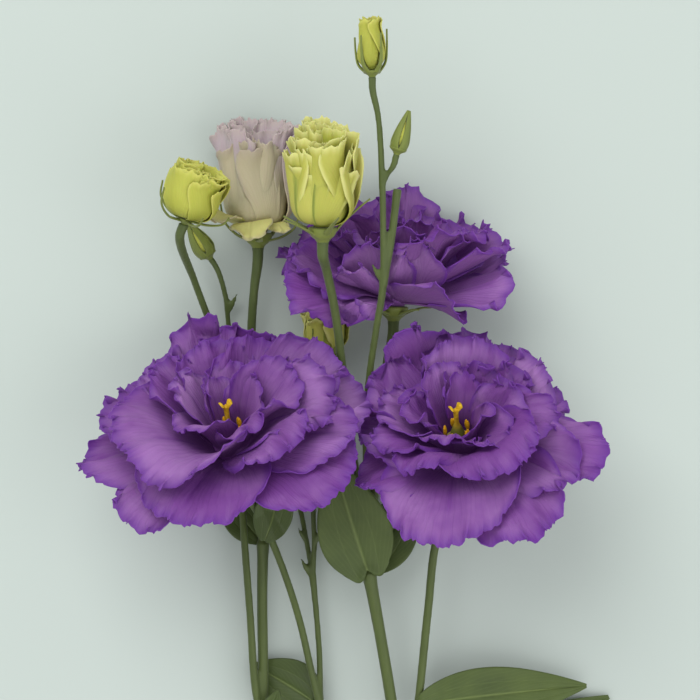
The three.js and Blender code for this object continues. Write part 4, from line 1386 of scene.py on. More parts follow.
def whorl(shared: dict[str, float], rows: Sequence[tuple[float, ...]]) -> list[Petal]:
    """Makes the petals of one whorl.

    Args:
        shared: What all of them have.
        rows: For each its place, first and last lean, lip, length, half width and phase, and
            where they are its own, its cup, frill, twist and tint. With no half width it is only
            a guide for its neighbours.

    Returns:
        The petals.
    """
    petals = []
    for at, first, last, lip, length, half, phase, *own in rows:
        extra = dict(zip(("cup", "frill", "twist", "tint"), own))
        petals.append(Petal(at, (first, last), length, half, phase, lip=lip, **{**shared, **extra}))
    return petals


@dataclass(frozen=True)
class Funnel:
    """The curved surface that a whorl's petals lie along, and the ruffles on it.

    A petal's curve is summed in steps, and its lip starts at lip_start of its length. broad is
    half the width of a broad petal, and a narrower one has fewer teeth and ruffles. The spreads
    are how much their numbers vary, and ruffles of more than fine_waves are fine ones. corner is
    how strongly its corners are cut back, cusp_mean levels its teeth, groove is the depth and
    width of its middle line, and overtone the number and size of the small waves on each broad
    one. patchy is how unevenly it is ruffled, sway how far a ruffle leans aside, and
    ruffle_growth how late it swells towards ruffle_end. A fade is the share of a petal's length
    over which something sets in, and rim_reach how far down its sides the ruffles go.
    """

    petals: tuple[Petal, ...]
    steps: int = 24
    lip_start: float = 0.68
    broad: float = 18.0
    tooth_spread: tuple[float, float] = (0.9, 1.1)
    ruffle_spread: tuple[float, float] = (0.85, 1.15)
    fine_waves: float = 8.0
    belly: float = 1.05
    corner: float = 1.7
    squareness: float = 0.96
    cusp_mean: float = 0.64
    groove: tuple[float, float] = (0.4, 0.06)
    overtone: tuple[float, float] = (2.3, 0.4)
    patchy: float = 0.3
    sway: float = 0.8
    least_radius: float = 5.0
    ruffle_end: float = 1.02
    ruffle_growth: float = 1.3
    rim_reach: float = 0.9
    cut_fade: Span = (0.2, 0.7)
    wave_fade: Span = (0.3, 1)
    groove_fade: Span = (0.1, 0.5)
    rim_fade: Span = (0.3, 0.6)

    def leans(self, azimuth: np.ndarray) -> tuple[np.ndarray, ...]:
        """Blends the petals' leans round the axis.

        Args:
            azimuth: Places round the axis, in degrees.

        Returns:
            First lean, last lean and lip at each place.
        """
        order = sorted(self.petals, key=lambda petal: petal.at)
        places = np.array([petal.at for petal in order])
        values = np.array([(*petal.out, petal.lip) for petal in order])
        at = np.mod(azimuth, 360.0)
        after = np.searchsorted(places, at, side="right") % len(order)
        before = (after - 1) % len(order)
        gap = np.mod(places[after] - places[before], 360.0)
        share = ease(0, 1, np.mod(at - places[before], 360.0) / gap)
        return tuple(mix(values[before, k], values[after, k], share) for k in range(3))

    def profile(
        self, petal: Petal, leans: tuple[np.ndarray, ...], q: np.ndarray
    ) -> tuple[np.ndarray, np.ndarray, np.ndarray]:
        """Follows a petal's curve outwards.

        Args:
            petal: The petal.
            leans: First lean, last lean and lip at each place.
            q: The share of its length that each place is at.

        Returns:
            Radius, height and lean in radians at each place.
        """
        first, last, lip = (lean[:, None] for lean in leans)

        def bend(t: np.ndarray) -> np.ndarray:
            """Lean in radians at share t of the length."""
            lean = mix(first, last, ease(0, petal.by, t))
            return np.radians(lean + lip * ease(self.lip_start, 1, t))

        middles = (np.arange(self.steps) + 0.5) / self.steps
        angles = bend(q[:, None] * middles[None])
        step = petal.length * q / self.steps
        radius = petal.reach + step * np.sin(angles).sum(1)
        height = petal.lift + step * np.cos(angles).sum(1)
        return radius, height, bend(q[:, None])[:, 0]

    def ruffles(self, petal: Petal, dice: np.random.Generator) -> list[Ruffle]:
        """Draws a petal's own ruffles.

        Args:
            petal: The petal.
            dice: What they are drawn from.

        Returns:
            The ruffles, from the broadest to the finest.
        """
        wide = petal.half / self.broad
        return [
            Ruffle(
                cycles=wave.cycles * wide * dice.uniform(*self.ruffle_spread),
                phase=dice.uniform(*ANY_PHASE),
                size=wave.size * (petal.fine if wave.cycles > self.fine_waves else 1.0),
                start=wave.start,
            )
            for wave in RUFFLES
        ]

    def sheet(self, petal: Petal, seed: int) -> Sheet:
        """Shapes one petal.

        Args:
            petal: The petal.
            seed: Its random seed.

        Returns:
            Its surface in its bloom's own frame.
        """
        dice = np.random.default_rng(seed)
        wide = petal.half / self.broad
        teeth = [
            (cycles * wide * dice.uniform(*self.tooth_spread), dice.uniform(*ANY_PHASE))
            for cycles in TEETH
        ]
        ruffles = self.ruffles(petal, dice)
        patch = dice.uniform(*ANY_PHASE)
        depth, narrow = self.groove
        times, small = self.overtone

        def sheet(along: np.ndarray, across: np.ndarray) -> np.ndarray:
            """Cuts, bends and ruffles the petal.

            Args:
                along: Places along the petal.
                across: Places across it.

            Returns:
                Points in the bloom's frame.
            """
            rounding = 1 - np.sqrt(1 - self.squareness * across**2)
            cusps = sum(
                self.cusp_mean - np.abs(np.sin(cycles * math.pi * across + phase))
                for cycles, phase in teeth
            )
            reach = 1 - petal.round * self.corner * rounding + petal.ragged * cusps
            q = along * mix(1 - petal.round * across**2, reach, ease(*self.cut_fade, along))
            width = mix(petal.root, petal.half, np.sin(math.pi / 2 * along**self.belly))
            side = across * width
            centre = tuple(np.full_like(q, value) for value in self.leans(np.array([petal.at])))
            spread = self.profile(petal, centre, q)[0]
            azimuth = petal.at + np.degrees(side / spread)
            radius, height, angle = self.profile(petal, self.leans(azimuth), q)
            ripple = np.sin(petal.waves * math.pi * across + petal.phase) + small * np.sin(
                times * petal.waves * math.pi * across + 2 * petal.phase + 1
            )
            rise = (
                side * math.tan(math.radians(petal.twist)) * mix(0.3, 1, q)
                + petal.cup * q * across**2
                + petal.wave * ease(*self.wave_fade, along) * ripple
                - depth * bell(across, narrow) * ease(*self.groove_fade, along)
            )
            shift = np.zeros_like(along)
            sides = self.rim_reach * np.abs(across) ** 3 * ease(*self.rim_fade, along)
            rim = np.maximum(along, sides)
            for wave in ruffles:
                uneven = np.sin(times * math.pi * across + patch + wave.cycles)
                growth = ease(wave.start, self.ruffle_end, rim) ** self.ruffle_growth
                amount = petal.frill * wave.size * growth
                amount = amount * (1 - self.patchy + self.patchy * uneven)
                turn = wave.cycles * math.pi * across + wave.phase
                rise += amount * np.sin(turn)
                shift += self.sway * amount * np.cos(turn)
            turn = np.radians(azimuth) + shift / np.maximum(radius, self.least_radius)
            return about(radius - rise * np.cos(angle), turn, height + rise * np.sin(angle))

        return sheet


@dataclass
class Corolla:
    """All the petals of one bloom or bud, with the closed body that they grow from.

    spacing is the width of a petal's faces. A petal stays floor over the surface, and
    floor_by_layer and floor_by_turn higher for each whorl inside it and each second petal.
    shade is the mean and the spread of the petals' drawn tints, within shades.
    """

    head: str
    slot: str
    look: PetalFinish
    whorls: list[list[Petal]]
    core: Profile
    seed: int
    settling: Settling = field(default_factory=Settling)
    spacing: float = 0.46
    rows: int = 22
    thickness: float = 0.3
    floor: float = 0.35
    floor_by_layer: float = 0.8
    floor_by_turn: float = 0.45
    shade: tuple[float, float] = (0.5, 0.28)
    shades: tuple[float, float] = (0.1, 1)
    core_sides: int = 24

    def placed(self, local: Sheet, floor: float) -> Sheet:
        """Takes a petal's surface to where the bloom lies.

        Args:
            local: The surface in the bloom's own frame.
            floor: How high over the surface it stays.

        Returns:
            The surface in the layout.
        """

        def sheet(along: np.ndarray, across: np.ndarray) -> np.ndarray:
            """The petal's layout points."""
            return self.settling.settle(HEADS[self.head].out(local(along, across)), floor)

        return sheet

    def build(self, material: bpy.types.Material) -> bpy.types.Object:
        """Makes and dresses the corolla.

        Args:
            material: The petals' material.

        Returns:
            The corolla.
        """
        dice = np.random.default_rng(self.seed)
        mean, spread = self.shade
        pieces = []
        for layer, petals in enumerate(self.whorls):
            funnel = Funnel(tuple(petals))
            for order, petal in enumerate(petals):
                if petal.half == 0:
                    continue
                local = funnel.sheet(petal, self.seed * 100 + layer * 10 + order)
                by_turn = self.floor_by_turn * (order % 2)
                sheet = self.placed(local, self.floor + self.floor_by_layer * layer + by_turn)
                tint = float(np.clip(mean + spread * dice.standard_normal(), *self.shades))
                if petal.tint >= 0:
                    tint = petal.tint
                columns = round(2 * petal.half / self.spacing)
                pieces.append(blade(sheet, columns, self.rows, tint))
        name = f"petals_{self.head}"
        whole = join(pieces, name)
        thicken(whole, self.thickness)
        whole = join([whole, turned(self.head, self.core, self.core_sides)], name)
        return finish(whole, f"corolla_{self.head}", material)


def about(radius: np.ndarray, turn: np.ndarray, height: np.ndarray) -> np.ndarray:
    """Points at a radius, a turn in radians and a height about an axis."""
    return np.column_stack([radius * np.cos(turn), radius * np.sin(turn), height])


def follow(points: np.ndarray, along: np.ndarray) -> tuple[np.ndarray, np.ndarray]:
    """Follows a profile.

    Args:
        points: Its radii and heights.
        along: Places along it.

    Returns:
        Radius and height at each place.
    """
    place = along * (len(points) - 1)
    low = np.minimum(place.astype(int), len(points) - 2)
    spot = mix(points[low], points[low + 1], (place - low)[:, None])
    return spot[:, 0], spot[:, 1]


def turned(head: str, profile: Profile, sides: int = 32) -> bpy.types.Object:
    """Turns a profile round a bloom's axis.

    Args:
        head: Whose axis it is.
        profile: Points from the axis round to the axis again.
        sides: Faces round it.

    Returns:
        A closed round object.
    """
    points = np.array(profile)

    def sheet(along: np.ndarray, across: np.ndarray) -> np.ndarray:
        """Rolls the grid round the axis."""
        radius, height = follow(points, along)
        return HEADS[head].out(about(radius, across * math.pi, height))

    return rolled(sheet, sides, len(profile) - 1)


def rounded(profile: Profile, steps: int = 6) -> Profile:
    """Smooths a profile.

    Args:
        profile: Points that it goes through.
        steps: Steps from each of them to the next.

    Returns:
        The smooth profile.
    """
    line = [(radius, 0.0, height) for radius, height in profile]
    shares = np.linspace(0, 1, (len(profile) - 1) * steps + 1)
    curve = smooth_line(line, shares)
    curve[0, 0] = curve[-1, 0] = 0.0
    return [(max(0.0, float(x)), float(z)) for x, _, z in curve]


def raised(base: float, *profile: tuple[float, float]) -> Profile:
    """A profile whose heights are counted from a base."""
    return [(radius, base + height) for radius, height in profile]


FIRST = dict(lift=ROOT + 1.2, reach=3.2, ragged=0.014, fine=0.7)
SECOND = dict(lift=ROOT + 2.2, reach=3.4, ragged=0.014, fine=0.7)
THIRD = dict(lift=ROOT + 3.4, reach=3.7, wave=1.5, twist=13)
FOURTH = dict(lift=ROOT + 4.8, reach=4.0, wave=1.0, root=1.7, twist=14)
FIFTH = dict(lift=ROOT + 5.8, reach=4.3, wave=0.8, root=1.6, twist=14, frill=0.7)
WRAPPED = dict(
    lift=ROOT + 0.8, reach=2.2, by=0.4, root=1.6, cup=0.0, twist=15, wave=0.6, round=0.1, frill=0.7
)
INNER_WRAPPED = dict(WRAPPED, lift=ROOT + 3, reach=1.6, frill=0.8)
SMALL_WRAPPED = dict(WRAPPED, lift=BUD_ROOT + 0.5, reach=1.4, root=0.9, wave=0.4, frill=0.45)
TINY_WRAPPED = dict(SMALL_WRAPPED, frill=0.1)
LOOSE = dict(WRAPPED, ragged=0.042, frill=0.5, fine=0.3, wave=1.5, root=3.4, by=0.45, round=0.14)
INNER_LOOSE = dict(LOOSE, ragged=0.028, lift=ROOT + 3, reach=1.6)
SMALL_LOOSE = dict(SMALL_WRAPPED, ragged=0.035, frill=0.4, fine=0.35, root=2.0, by=0.6, round=0.14)

LEFT_WHORLS = [
    whorl(FIRST, [
        (6, 58, 84, 0, 44, 18, 4),
        (52, 56, 72, 0, 41, 17, 2.7, 1, 1.3),
        (104, 51, 60, 0, 46, 12, 1.1, 1, 1.4),
        (152, 57, 78, 0, 39, 17, 1.9, 1, 1.3),
        (194, 61, 94, 0, 47, 17, 0.4, 1, 0.7),
        (226, 62, 110, 0, 44, 16, 3.1, 0, 0.9, 0),
        (285, 61, 106, 0, 40, 0, 0),
        (323, 60, 102, 0, 44, 21, 0.9, 2, 0.7),
    ]),
    whorl(SECOND, [
        (30, 48, 64, 0, 42, 17, 0.2, 2),
        (80, 45, 54, 0, 39, 17, 5.2, 2, 1.3),
        (134, 49, 66, 0, 37, 16, 3.6, 2, 1.3),
        (178, 50, 78, 0, 41, 17, 2),
        (249, 56, 106, 0, 42, 24, 1.5, 2, 0.6, -5),
        (340, 52, 86, 0, 43, 16, 2.2, 1, 0.8),
    ]),
    whorl(THIRD, [
        (66, 36, 50, 0, 34, 14, 0.4, 4),
        (102, 34, 42, 0, 33, 17, 3.3, 5, 0.8),
        (144, 36, 50, 0, 34, 14, 5.5, 3),
        (180, 40, 58, 0, 40, 0, 0),
        (215, 41, 64, 24, 43, 29, 2, 4, 0.7, 8),
        (242, 46, 78, 80, 43, 0, 0),
        (310, 38, 58, 64, 37, 14, 0.5, -2, 1.1),
        (350, 40, 66, 56, 39, 21, 4.4, 3, 1.3),
        (20, 40, 60, 10, 36, 0, 0),
    ]),
    whorl(FOURTH, [
        (14, 30, 50, 0, 31, 16, 0.8, 7),
        (84, 22, 32, 0, 25, 11, 2.9, 3),
        (150, 24, 38, 0, 27, 11, 2.1, 2),
        (226, 22, 38, 54, 26, 13, 0, 0, 0.5),
        (300, 21, 36, 50, 26, 9, 1.6),
    ]),
    whorl(FIFTH, [
        (40, 14, 26, 0, 23, 8, 3),
        (120, 12, 22, 0, 21, 7, 2),
    ]),
]
RIGHT_WHORLS = [
    whorl(FIRST, [
        (16, 56, 80, 0, 35, 15, 3.9, 1, 1.5),
        (54, 54, 68, 0, 37, 14, 5.1, 1, 1.5),
        (112, 50, 58, 0, 42, 16, 0, 1, 1.3),
        (163, 56, 76, 0, 31, 16, 3),
        (214, 58, 96, 0, 35, 15, 1, 1, 0.8),
        (298, 61, 104, 0, 49, 19, 2.6, 1, 0.8),
        (342, 60, 94, 0, 47, 13, 0.2, 1, 1, 16),
    ]),
    whorl(SECOND, [
        (34, 48, 64, 0, 36, 15, 2.2, 2, 1.4),
        (82, 45, 54, 0, 37, 16, 1.2, 2, 1.3),
        (140, 46, 62, 0, 35, 15, 4.2, 2, 1.3),
        (188, 50, 82, 0, 30, 15, 0.7),
        (264, 59, 106, 0, 46, 25, 1.7, 2, 0.5),
        (324, 56, 94, 0, 43, 15, 3.3),
    ]),
    whorl(THIRD, [
        (30, 36, 52, 0, 30, 13, 5, 2, 1.6),
        (78, 33, 42, 0, 34, 17, 3.2, 4),
        (164, 36, 58, 20, 28, 16, 0.8, 5, 1.2),
        (204, 40, 62, 40, 30, 13, 2.8, 1),
        (240, 38, 62, 50, 33, 12, 0.3, -1, 0.8),
        (297, 38, 62, 64, 38, 21, 1.4, 5, 0.8),
        (348, 40, 66, 50, 35, 13, 2.4, 2),
    ]),
    whorl(FOURTH, [
        (56, 24, 36, 0, 26, 11, 4, 2, 1.5),
        (108, 22, 32, 0, 26, 12, 3, 5, 0.7),
        (176, 24, 38, 0, 24, 10, 1, 2, 1.4),
        (256, 20, 34, 46, 24, 10, 2, 0, 0.6),
        (306, 32, 60, 0, 29, 12, 2, 3),
        (4, 26, 44, 10, 27, 10, 5, 1, 1.6),
    ]),
    whorl(FIFTH, [
        (70, 14, 26, 0, 22, 7, 3),
        (330, 14, 24, 0, 21, 7, 2),
    ]),
]
UPPER_WHORLS = [
    whorl(dict(FIRST, ragged=0.03, fine=1.1), [
        (12, 70, 66, 0, 35, 13, 2, 1, 0.9, 16),
        (46, 60, 50, 0, 33, 14, 1.4, 1, 1.2),
        (84, 50, 36, 0, 34, 14, 0.5, 1, 1.2),
        (124, 50, 44, 0, 35, 15, 3.3, 1, 1.1, -6),
        (160, 64, 62, 0, 37, 16, 4.5, 1, 1, -14),
        (203, 80, 84, 0, 34, 15, 3.9, 1, 0.8, -34),
        (234, 82, 112, 0, 24, 9, 1.2, 0, 1.4, -10),
        (311, 84, 93, 10, 25, 13, 2.9, 0, 0.5, -40),
        (340, 78, 77, 0, 36, 10, 0.6, 1, 0.9, 24),
    ]),
    whorl(dict(SECOND, ragged=0.03, fine=1.1), [
        (28, 54, 46, 0, 36, 12, 1.1, 1, 1.2),
        (70, 36, 22, 0, 30, 12, 3.7, 1, 1.3),
        (112, 36, 30, 0, 34, 13, 5.3, 1, 1.2),
        (150, 50, 50, 0, 35, 14, 2.2, 1, 1.1, -10),
        (186, 66, 66, 0, 33, 13, 0, 1, 1, -30),
        (222, 70, 62, 20, 28, 12, 2, 1, 0.9, -30),
        (250, 72, 10, 50, 28, 13, 2.4, 0, 0.6, 0),
        (284, 72, 8, 24, 28, 10, 0.9, 0, 0.9, -6),
        (350, 62, 54, 10, 37, 12, 4.2, 1, 1, 18),
    ]),
    whorl(THIRD, [
        (50, 26, 34, 0, 26.5, 12, 0.6, 1, 1.4),
        (78, 10, 12, 0, 35, 6.5, 2.4, 1, 1.3),
        (126, 24, 28, 0, 33, 12, 4.1, 1, 1.3, -10),
        (180, 40, 40, 10, 32, 12, 5.1, 1, 1.1, -16),
        (226, 48, 32, 44, 28, 12, 1, 0, 0.9, -12),
        (268, 50, 10, 40, 28, 12, 0.3, 0, 0.7),
        (310, 56, 26, 54, 32, 14, 1.8, 0, 0.7),
        (345, 50, 42, 30, 33, 12, 3, 0, 1, 14),
    ]),
    whorl(FOURTH, [
        (15, 20, 30, 10, 25.5, 10, 1, 1, 1.2),
        (95, 10, 14, 0, 30, 9, 3, 1, 1.2),
        (200, 20, 26, 20, 27, 10, 5, 1, 1),
        (286, 30, 14, 60, 28, 12, 2, 0, 0.8),
    ]),
]
CREAM_WHORLS = [
    whorl(dict(WRAPPED, ragged=0.03, fine=0.45, wave=1.2, root=3.4, tint=0.95), [
        (14, 74, 4, 16, 36, 13, 5, 0, 0.7),
        (62, 74, 4, 20, 38, 13, 0, 0, 0.7),
        (110, 74, 4, 22, 39, 13, 4, 0, 0.7),
        (158, 75, 3, 16, 37, 12, 1.9, 0, 0.7),
        (204, 75, 1, 10, 36, 11, 1, 0, 0.6),
        (256, 76, 0, 8, 31.5, 11, 2.5, 0, 0.6, 9, 0.6),
        (316, 76, 0, 8, 30, 13, 3, 0, 0.6, 9, 0.6),
    ]),
    whorl(dict(INNER_WRAPPED, ragged=0.022, fine=0.3, wave=1.2, tint=0.95), [
        (0, 62, 2, 14, 33, 11, 1, 0, 0.7),
        (50, 62, 2, 16, 35, 12, 2, 0, 0.7),
        (100, 62, 2, 18, 36, 12, 4, 0, 0.7),
        (150, 62, 2, 16, 34, 12, 3, 0, 0.7),
        (240, 62, -2, 10, 27, 10, 4),
        (300, 62, -2, 10, 27, 10, 5),
    ]),
    whorl(dict(INNER_WRAPPED, fine=0.3, tint=0.95, lift=ROOT + 5, reach=1.2), [
        (60, 44, 0, 8, 28, 9, 3, 0, 0.7),
        (130, 44, 0, 8, 28, 9, 5, 0, 0.7),
    ]),
    whorl(dict(WRAPPED, lift=ROOT + 2.4, reach=6.4, by=0.8, root=4, tint=0.0, round=0.4), [
        (204, 64, 60, 0, 15, 7, 2, 0, 0.7),
        (258, 60, 168, 0, 10, 7, 0, 0, 0.7, 20),
        (312, 62, 150, 0, 7, 5, 1, 0, 0.6),
    ]),
]
LIME_WHORLS = [
    whorl(LOOSE, [
        (14, 80, -2, 12, 28, 12, 3),
        (66, 80, 0, 14, 31, 12, 4),
        (116, 80, 0, 14, 34, 12, 5),
        (166, 80, -2, 12, 30, 12, 0.6),
        (212, 87, 0, 12, 27, 13, 0),
        (250, 88, -4, 4, 23, 12, 1, 0, 0.6, -9),
        (306, 87, -4, 8, 21, 11, 2.5, 1, 0.5, -7),
    ]),
    whorl(INNER_LOOSE, [
        (0, 66, -4, 10, 27, 12, 1),
        (54, 64, -2, 14, 30, 11, 2),
        (104, 64, -2, 14, 33, 11, 3),
        (150, 64, -2, 12, 30, 11, 4),
        (198, 66, -6, 10, 27, 12, 4),
        (250, 68, -10, 6, 24, 12, 5),
        (304, 68, -8, 8, 25, 12, 0),
    ]),
    whorl(dict(INNER_LOOSE, lift=ROOT + 5, reach=1.2), [
        (50, 46, -4, 10, 26, 11, 1),
        (140, 44, -2, 12, 28, 11, 2),
        (260, 46, -8, 10, 22, 10, 5),
    ]),
]
SMALL_WHORLS = [
    whorl(SMALL_LOOSE, [
        (24, 88, -8, 16, 18, 10, 2),
        (84, 88, -8, 10, 20, 10, 3),
        (144, 88, -9, 4, 20, 10, 4),
        (204, 90, -11, 2, 20.5, 11, 0),
        (264, 90, -11, 6, 19.5, 12, 1),
        (324, 90, -6, 18, 18, 10, 5),
    ]),
    whorl(dict(SMALL_LOOSE, reach=1.1, lift=BUD_ROOT + 2, wave=1.3, frill=0.8), [
        (10, 70, -8, 16, 16.5, 9, 1),
        (100, 70, -9, 10, 16, 9, 3),
        (190, 70, -10, 8, 17.5, 9, 5),
        (280, 70, -8, 14, 16, 9, 2),
    ]),
    whorl(dict(SMALL_LOOSE, reach=0.9, lift=BUD_ROOT + 4, wave=1.3, frill=0.8), [
        (60, 46, -6, 14, 14, 8, 1),
        (240, 46, -6, 10, 13, 8, 5),
    ]),
]
HIDDEN_WHORLS = [
    whorl(dict(SMALL_LOOSE, wave=0.8, frill=0.8, ragged=0.05), [
        (54, 76, -5, 30, 16.5, 6.8, 4),
        (126, 76, -5, 30, 16, 6.8, 1),
        (198, 76, -5, 28, 14.6, 6.8, 3),
        (270, 76, -6, 24, 13.4, 6.8, 0),
        (342, 76, -5, 30, 14.6, 6.8, 2),
    ]),
    whorl(dict(SMALL_LOOSE, reach=1.0, lift=BUD_ROOT + 2), [
        (18, 50, -2, 18, 13.4, 5, 4),
        (138, 50, -2, 18, 13.8, 5, 1),
        (258, 50, -2, 18, 12.4, 5, 3),
    ]),
]
TOP_WHORLS = [
    whorl(dict(TINY_WRAPPED, by=0.4, twist=16, wave=0.15, ragged=0.035), [
        (52, 62, -12, 26, 17, 4, 4),
        (124, 62, -12, 26, 17, 4, 1),
        (196, 62, -12, 26, 16.6, 4, 3),
        (268, 62, -13, 24, 16.2, 4, 0),
        (340, 62, -12, 26, 16.8, 4, 2),
    ]),
]

CORE_HEIGHT = 8  # of an open bloom's core, which its pistil and stamens stand on
OPEN_CORE = raised(ROOT, (0, 0), (3.2, 0), (4.6, 2.4), (6, 7.6), (0, CORE_HEIGHT))
CREAM_CORE = raised(ROOT, (0, 0), (2.6, 0), (5.6, 4.5), (6.6, 12), (6, 20), (0, 22))
LIME_CORE = raised(ROOT, (0, 0), (2.6, 0), (5.2, 4.5), (5.8, 11), (5, 18), (0, 20))
SMALL_CORE = raised(BUD_ROOT, (0, 0), (2, 0), (3.4, 5), (3.4, 10), (0, 12))
HIDDEN_CORE = raised(BUD_ROOT, (0, 0), (1.6, 0), (2.4, 3), (2.4, 7), (0, 9))
TOP_CORE = raised(BUD_ROOT, (0, 0), (1.6, 0), (3, 3), (2.8, 6), (0, 11))


COROLLAS = [
    Corolla(
        "left", "purple_petal", PURPLE, LEFT_WHORLS, OPEN_CORE, 3,
        Settling(over=("small", "cream", "green", "hidden", "lime")),
    ),
    Corolla(
        "right", "purple_petal", PURPLE, RIGHT_WHORLS, OPEN_CORE, 7, Settling(over=("upper", "top"))
    ),
    Corolla(
        "upper", "purple_petal", PURPLE, UPPER_WHORLS, OPEN_CORE, 11,
        Settling(under=("lime", "top", "stub")),
    ),
    Corolla("cream", "cream_petal", CREAM, CREAM_WHORLS, CREAM_CORE, 17),
    Corolla("lime", "lime_petal", LIME, LIME_WHORLS, LIME_CORE, 19),
    Corolla("small", "lime_petal", BUD, SMALL_WHORLS, SMALL_CORE, 23),
    Corolla("hidden", "bud_petal", LIME, HIDDEN_WHORLS, HIDDEN_CORE, 29),
    Corolla("top", "bud_petal", BUD, TOP_WHORLS, TOP_CORE, 31),
]


@dataclass
class ClosedBud:
    """A bud whose petals are still rolled into one twisted spindle.

    Its seams make turns round it from end to end. least and bulge are the shares of its radius
    in a seam and between two.
    """

    head: str
    profile: Profile
    turns: float = 0.55
    seams: int = 5
    least: float = 0.9
    bulge: float = 0.14
    sides: int = 60
    rows: int = 44

    def build(self, material: bpy.types.Material) -> bpy.types.Object:
        """Makes and dresses the bud.

        Args:
            material: The petals' material.

        Returns:
            The bud.
        """
        points = np.array(rounded(self.profile, steps=10))

        def sheet(along: np.ndarray, across: np.ndarray) -> np.ndarray:
            """Rolls the grid into a spindle with sunk spiral seams.

            Args:
                along: Places along the bud.
                across: Places round it.

            Returns:
                Layout points.
            """
            radius, height = follow(points, along)
            turn = across * math.pi
            twist = self.turns * 2 * math.pi * along
            seam = np.abs(np.sin(self.seams / 2 * (turn + twist)))
            radius = radius * (self.least + self.bulge * seam**0.6)
            return HEADS[self.head].out(about(radius, turn, height))

        piece = rolled(sheet, self.sides, self.rows)
        piece.name = f"closed_bud_{self.head}"
        return finish(piece, f"corolla_{self.head}", material)


CLOSED_BUDS = [
    ClosedBud("side", raised(BUD_ROOT, (0, 0), (1.3, 0), (2.1, 2), (2, 4), (1.1, 7.5), (0, 10))),
    ClosedBud(
        "green", raised(BUD_ROOT, (0, 0), (1.4, 0), (2.7, 2), (2.6, 4.2), (1.5, 7.5), (0, 10))
    ),
]


# Calyxes


@dataclass
class Calyx:
    """A small cup with narrow pointed lobes.

    half is half a lobe's width, first the place of the first one round the axis in degrees, and
    rises how steeply each one climbs over the height join. Its tip is the share tip as wide as
    its root, and keel how far its middle stands out.
    """

    head: str
    cup: Profile
    lobe: Profile
    half: float
    first: float
    rises: tuple[float, ...] = (1.0, 1.0, 1.0, 1.0, 1.0)
    taper: float = 1.5
    tip: float = 0.16
    join: float = 1.6
    keel: float = 0.25
    thickness: float = 0.5
    floor: float = 0.3
    columns: int = 8
    rows: int = 22

    def lobe_sheet(self, rise: float, azimuth: float) -> Sheet:
        """Shapes one lobe.

        Args:
            rise: How steeply it climbs.
            azimuth: Its place round the axis, in radians.

        Returns:
            Its surface in the layout.
        """
        line = [
            (radius, 0.0, self.join + (height - self.join) * rise) for radius, height in self.lobe
        ]
        x, y = math.cos(azimuth), math.sin(azimuth)

        def sheet(along: np.ndarray, across: np.ndarray) -> np.ndarray:
            """Lays the lobe along its own arched line.

            Args:
                along: Places along the lobe.
                across: Places across it.

            Returns:
                Layout points.
            """
            centre = smooth_line(line, along)
            width = self.half * mix(self.tip, 1, np.maximum(0, 1 - along) ** self.taper)
            side = across * width
            keel = self.keel * (1 - np.abs(across)) * (1 - along)
            radius = centre[:, 0] + keel
            flat = [radius * x - side * y, radius * y + side * x]
            points = HEADS[self.head].out(np.column_stack([*flat, centre[:, 2] - keel]))
            points[:, 2] = np.maximum(points[:, 2], self.floor)
            return points

        return sheet

    def build(self, material: bpy.types.Material) -> bpy.types.Object:
        """Makes and dresses the calyx.

        Args:
            material: The sepals' green.

        Returns:
            The calyx.
        """
        step = 360 / len(self.rises)
        lobes = []
        for k, rise in enumerate(self.rises):
            sheet = self.lobe_sheet(rise, math.radians(self.first + step * k))
            lobes.append(blade(sheet, self.columns, self.rows))
        whole = join(lobes, f"calyx_{self.head}_lobes")
        apply(whole, "SOLIDIFY", thickness=self.thickness * MM, offset=0)
        whole = join([whole, turned(self.head, rounded(self.cup, steps=5))], f"sepals_{self.head}")
        return finish(whole, f"calyx_{self.head}", material)


OPEN_CUP = [(0, -0.9), (1.6, -0.8), (2.3, 0.2), (3.7, 1.5), (4.4, 3.9), (0, 3.95)]
BUD_CUP = [(0, -0.8), (0.8, -0.7), (1.3, 0), (2.4, 0.8), (2.8, 1.5), (0, 1.55)]
OPEN_LOBE = [(3, 1.6), (6.6, 2.2), (11, 1.2), (15, -1.2)]
HUGGING_LOBE = [(3, 1.6), (5.6, 2.6), (9, 3.6), (12.4, 3.8)]
LIME_LOBE = [(3, 1.8), (6.4, 4.2), (10.6, 6.6), (14.6, 8.6)]
CREAM_LOBE = [(3, 1.8), (7.4, 3.6), (11.4, 7.4), (13, 13)]
SMALL_LOBE = [(2, 0.9), (7, 1.6), (11.4, 4.6), (12.6, 9)]
HIDDEN_LOBE = [(2, 0.9), (5, 2.4), (6, 6), (6.4, 10)]
TOP_LOBE = [(2, 0.9), (4.3, 3.6), (5, 7.4), (5.2, 13)]
SIDE_LOBE = [(1.8, 0.9), (2.4, 3.2), (1.9, 7.4), (0.3, 13.4)]
GREEN_LOBE = [(1.9, 0.9), (3, 3.4), (2.5, 7.2), (0.4, 12.8)]
CALYXES = [
    Calyx("left", OPEN_CUP, OPEN_LOBE, 1.5, 20),
    Calyx("right", OPEN_CUP, OPEN_LOBE, 1.5, 20),
    Calyx("upper", OPEN_CUP, HUGGING_LOBE, 1.3, 20),
    Calyx("cream", OPEN_CUP, CREAM_LOBE, 1.2, 60, (0.8, 0.9, 1.0, 0.15, 0.7)),
    Calyx("lime", OPEN_CUP, LIME_LOBE, 1.3, 2, (1.6, 1.2, 0.7, 0.8, 1.0)),
    Calyx("small", BUD_CUP, SMALL_LOBE, 0.9, 2, (0.6, 1, 1, 1.2, 0.6)),
    Calyx("hidden", BUD_CUP, HIDDEN_LOBE, 0.8, 18),
    Calyx("top", BUD_CUP, TOP_LOBE, 1.0, 18, (1.1, 1.0, 0.9, 0.95, 1.0)),
    Calyx("side", BUD_CUP, SIDE_LOBE, 1.5, 18, taper=0.7),
    Calyx("green", BUD_CUP, GREEN_LOBE, 1.9, 18, taper=0.7),
]


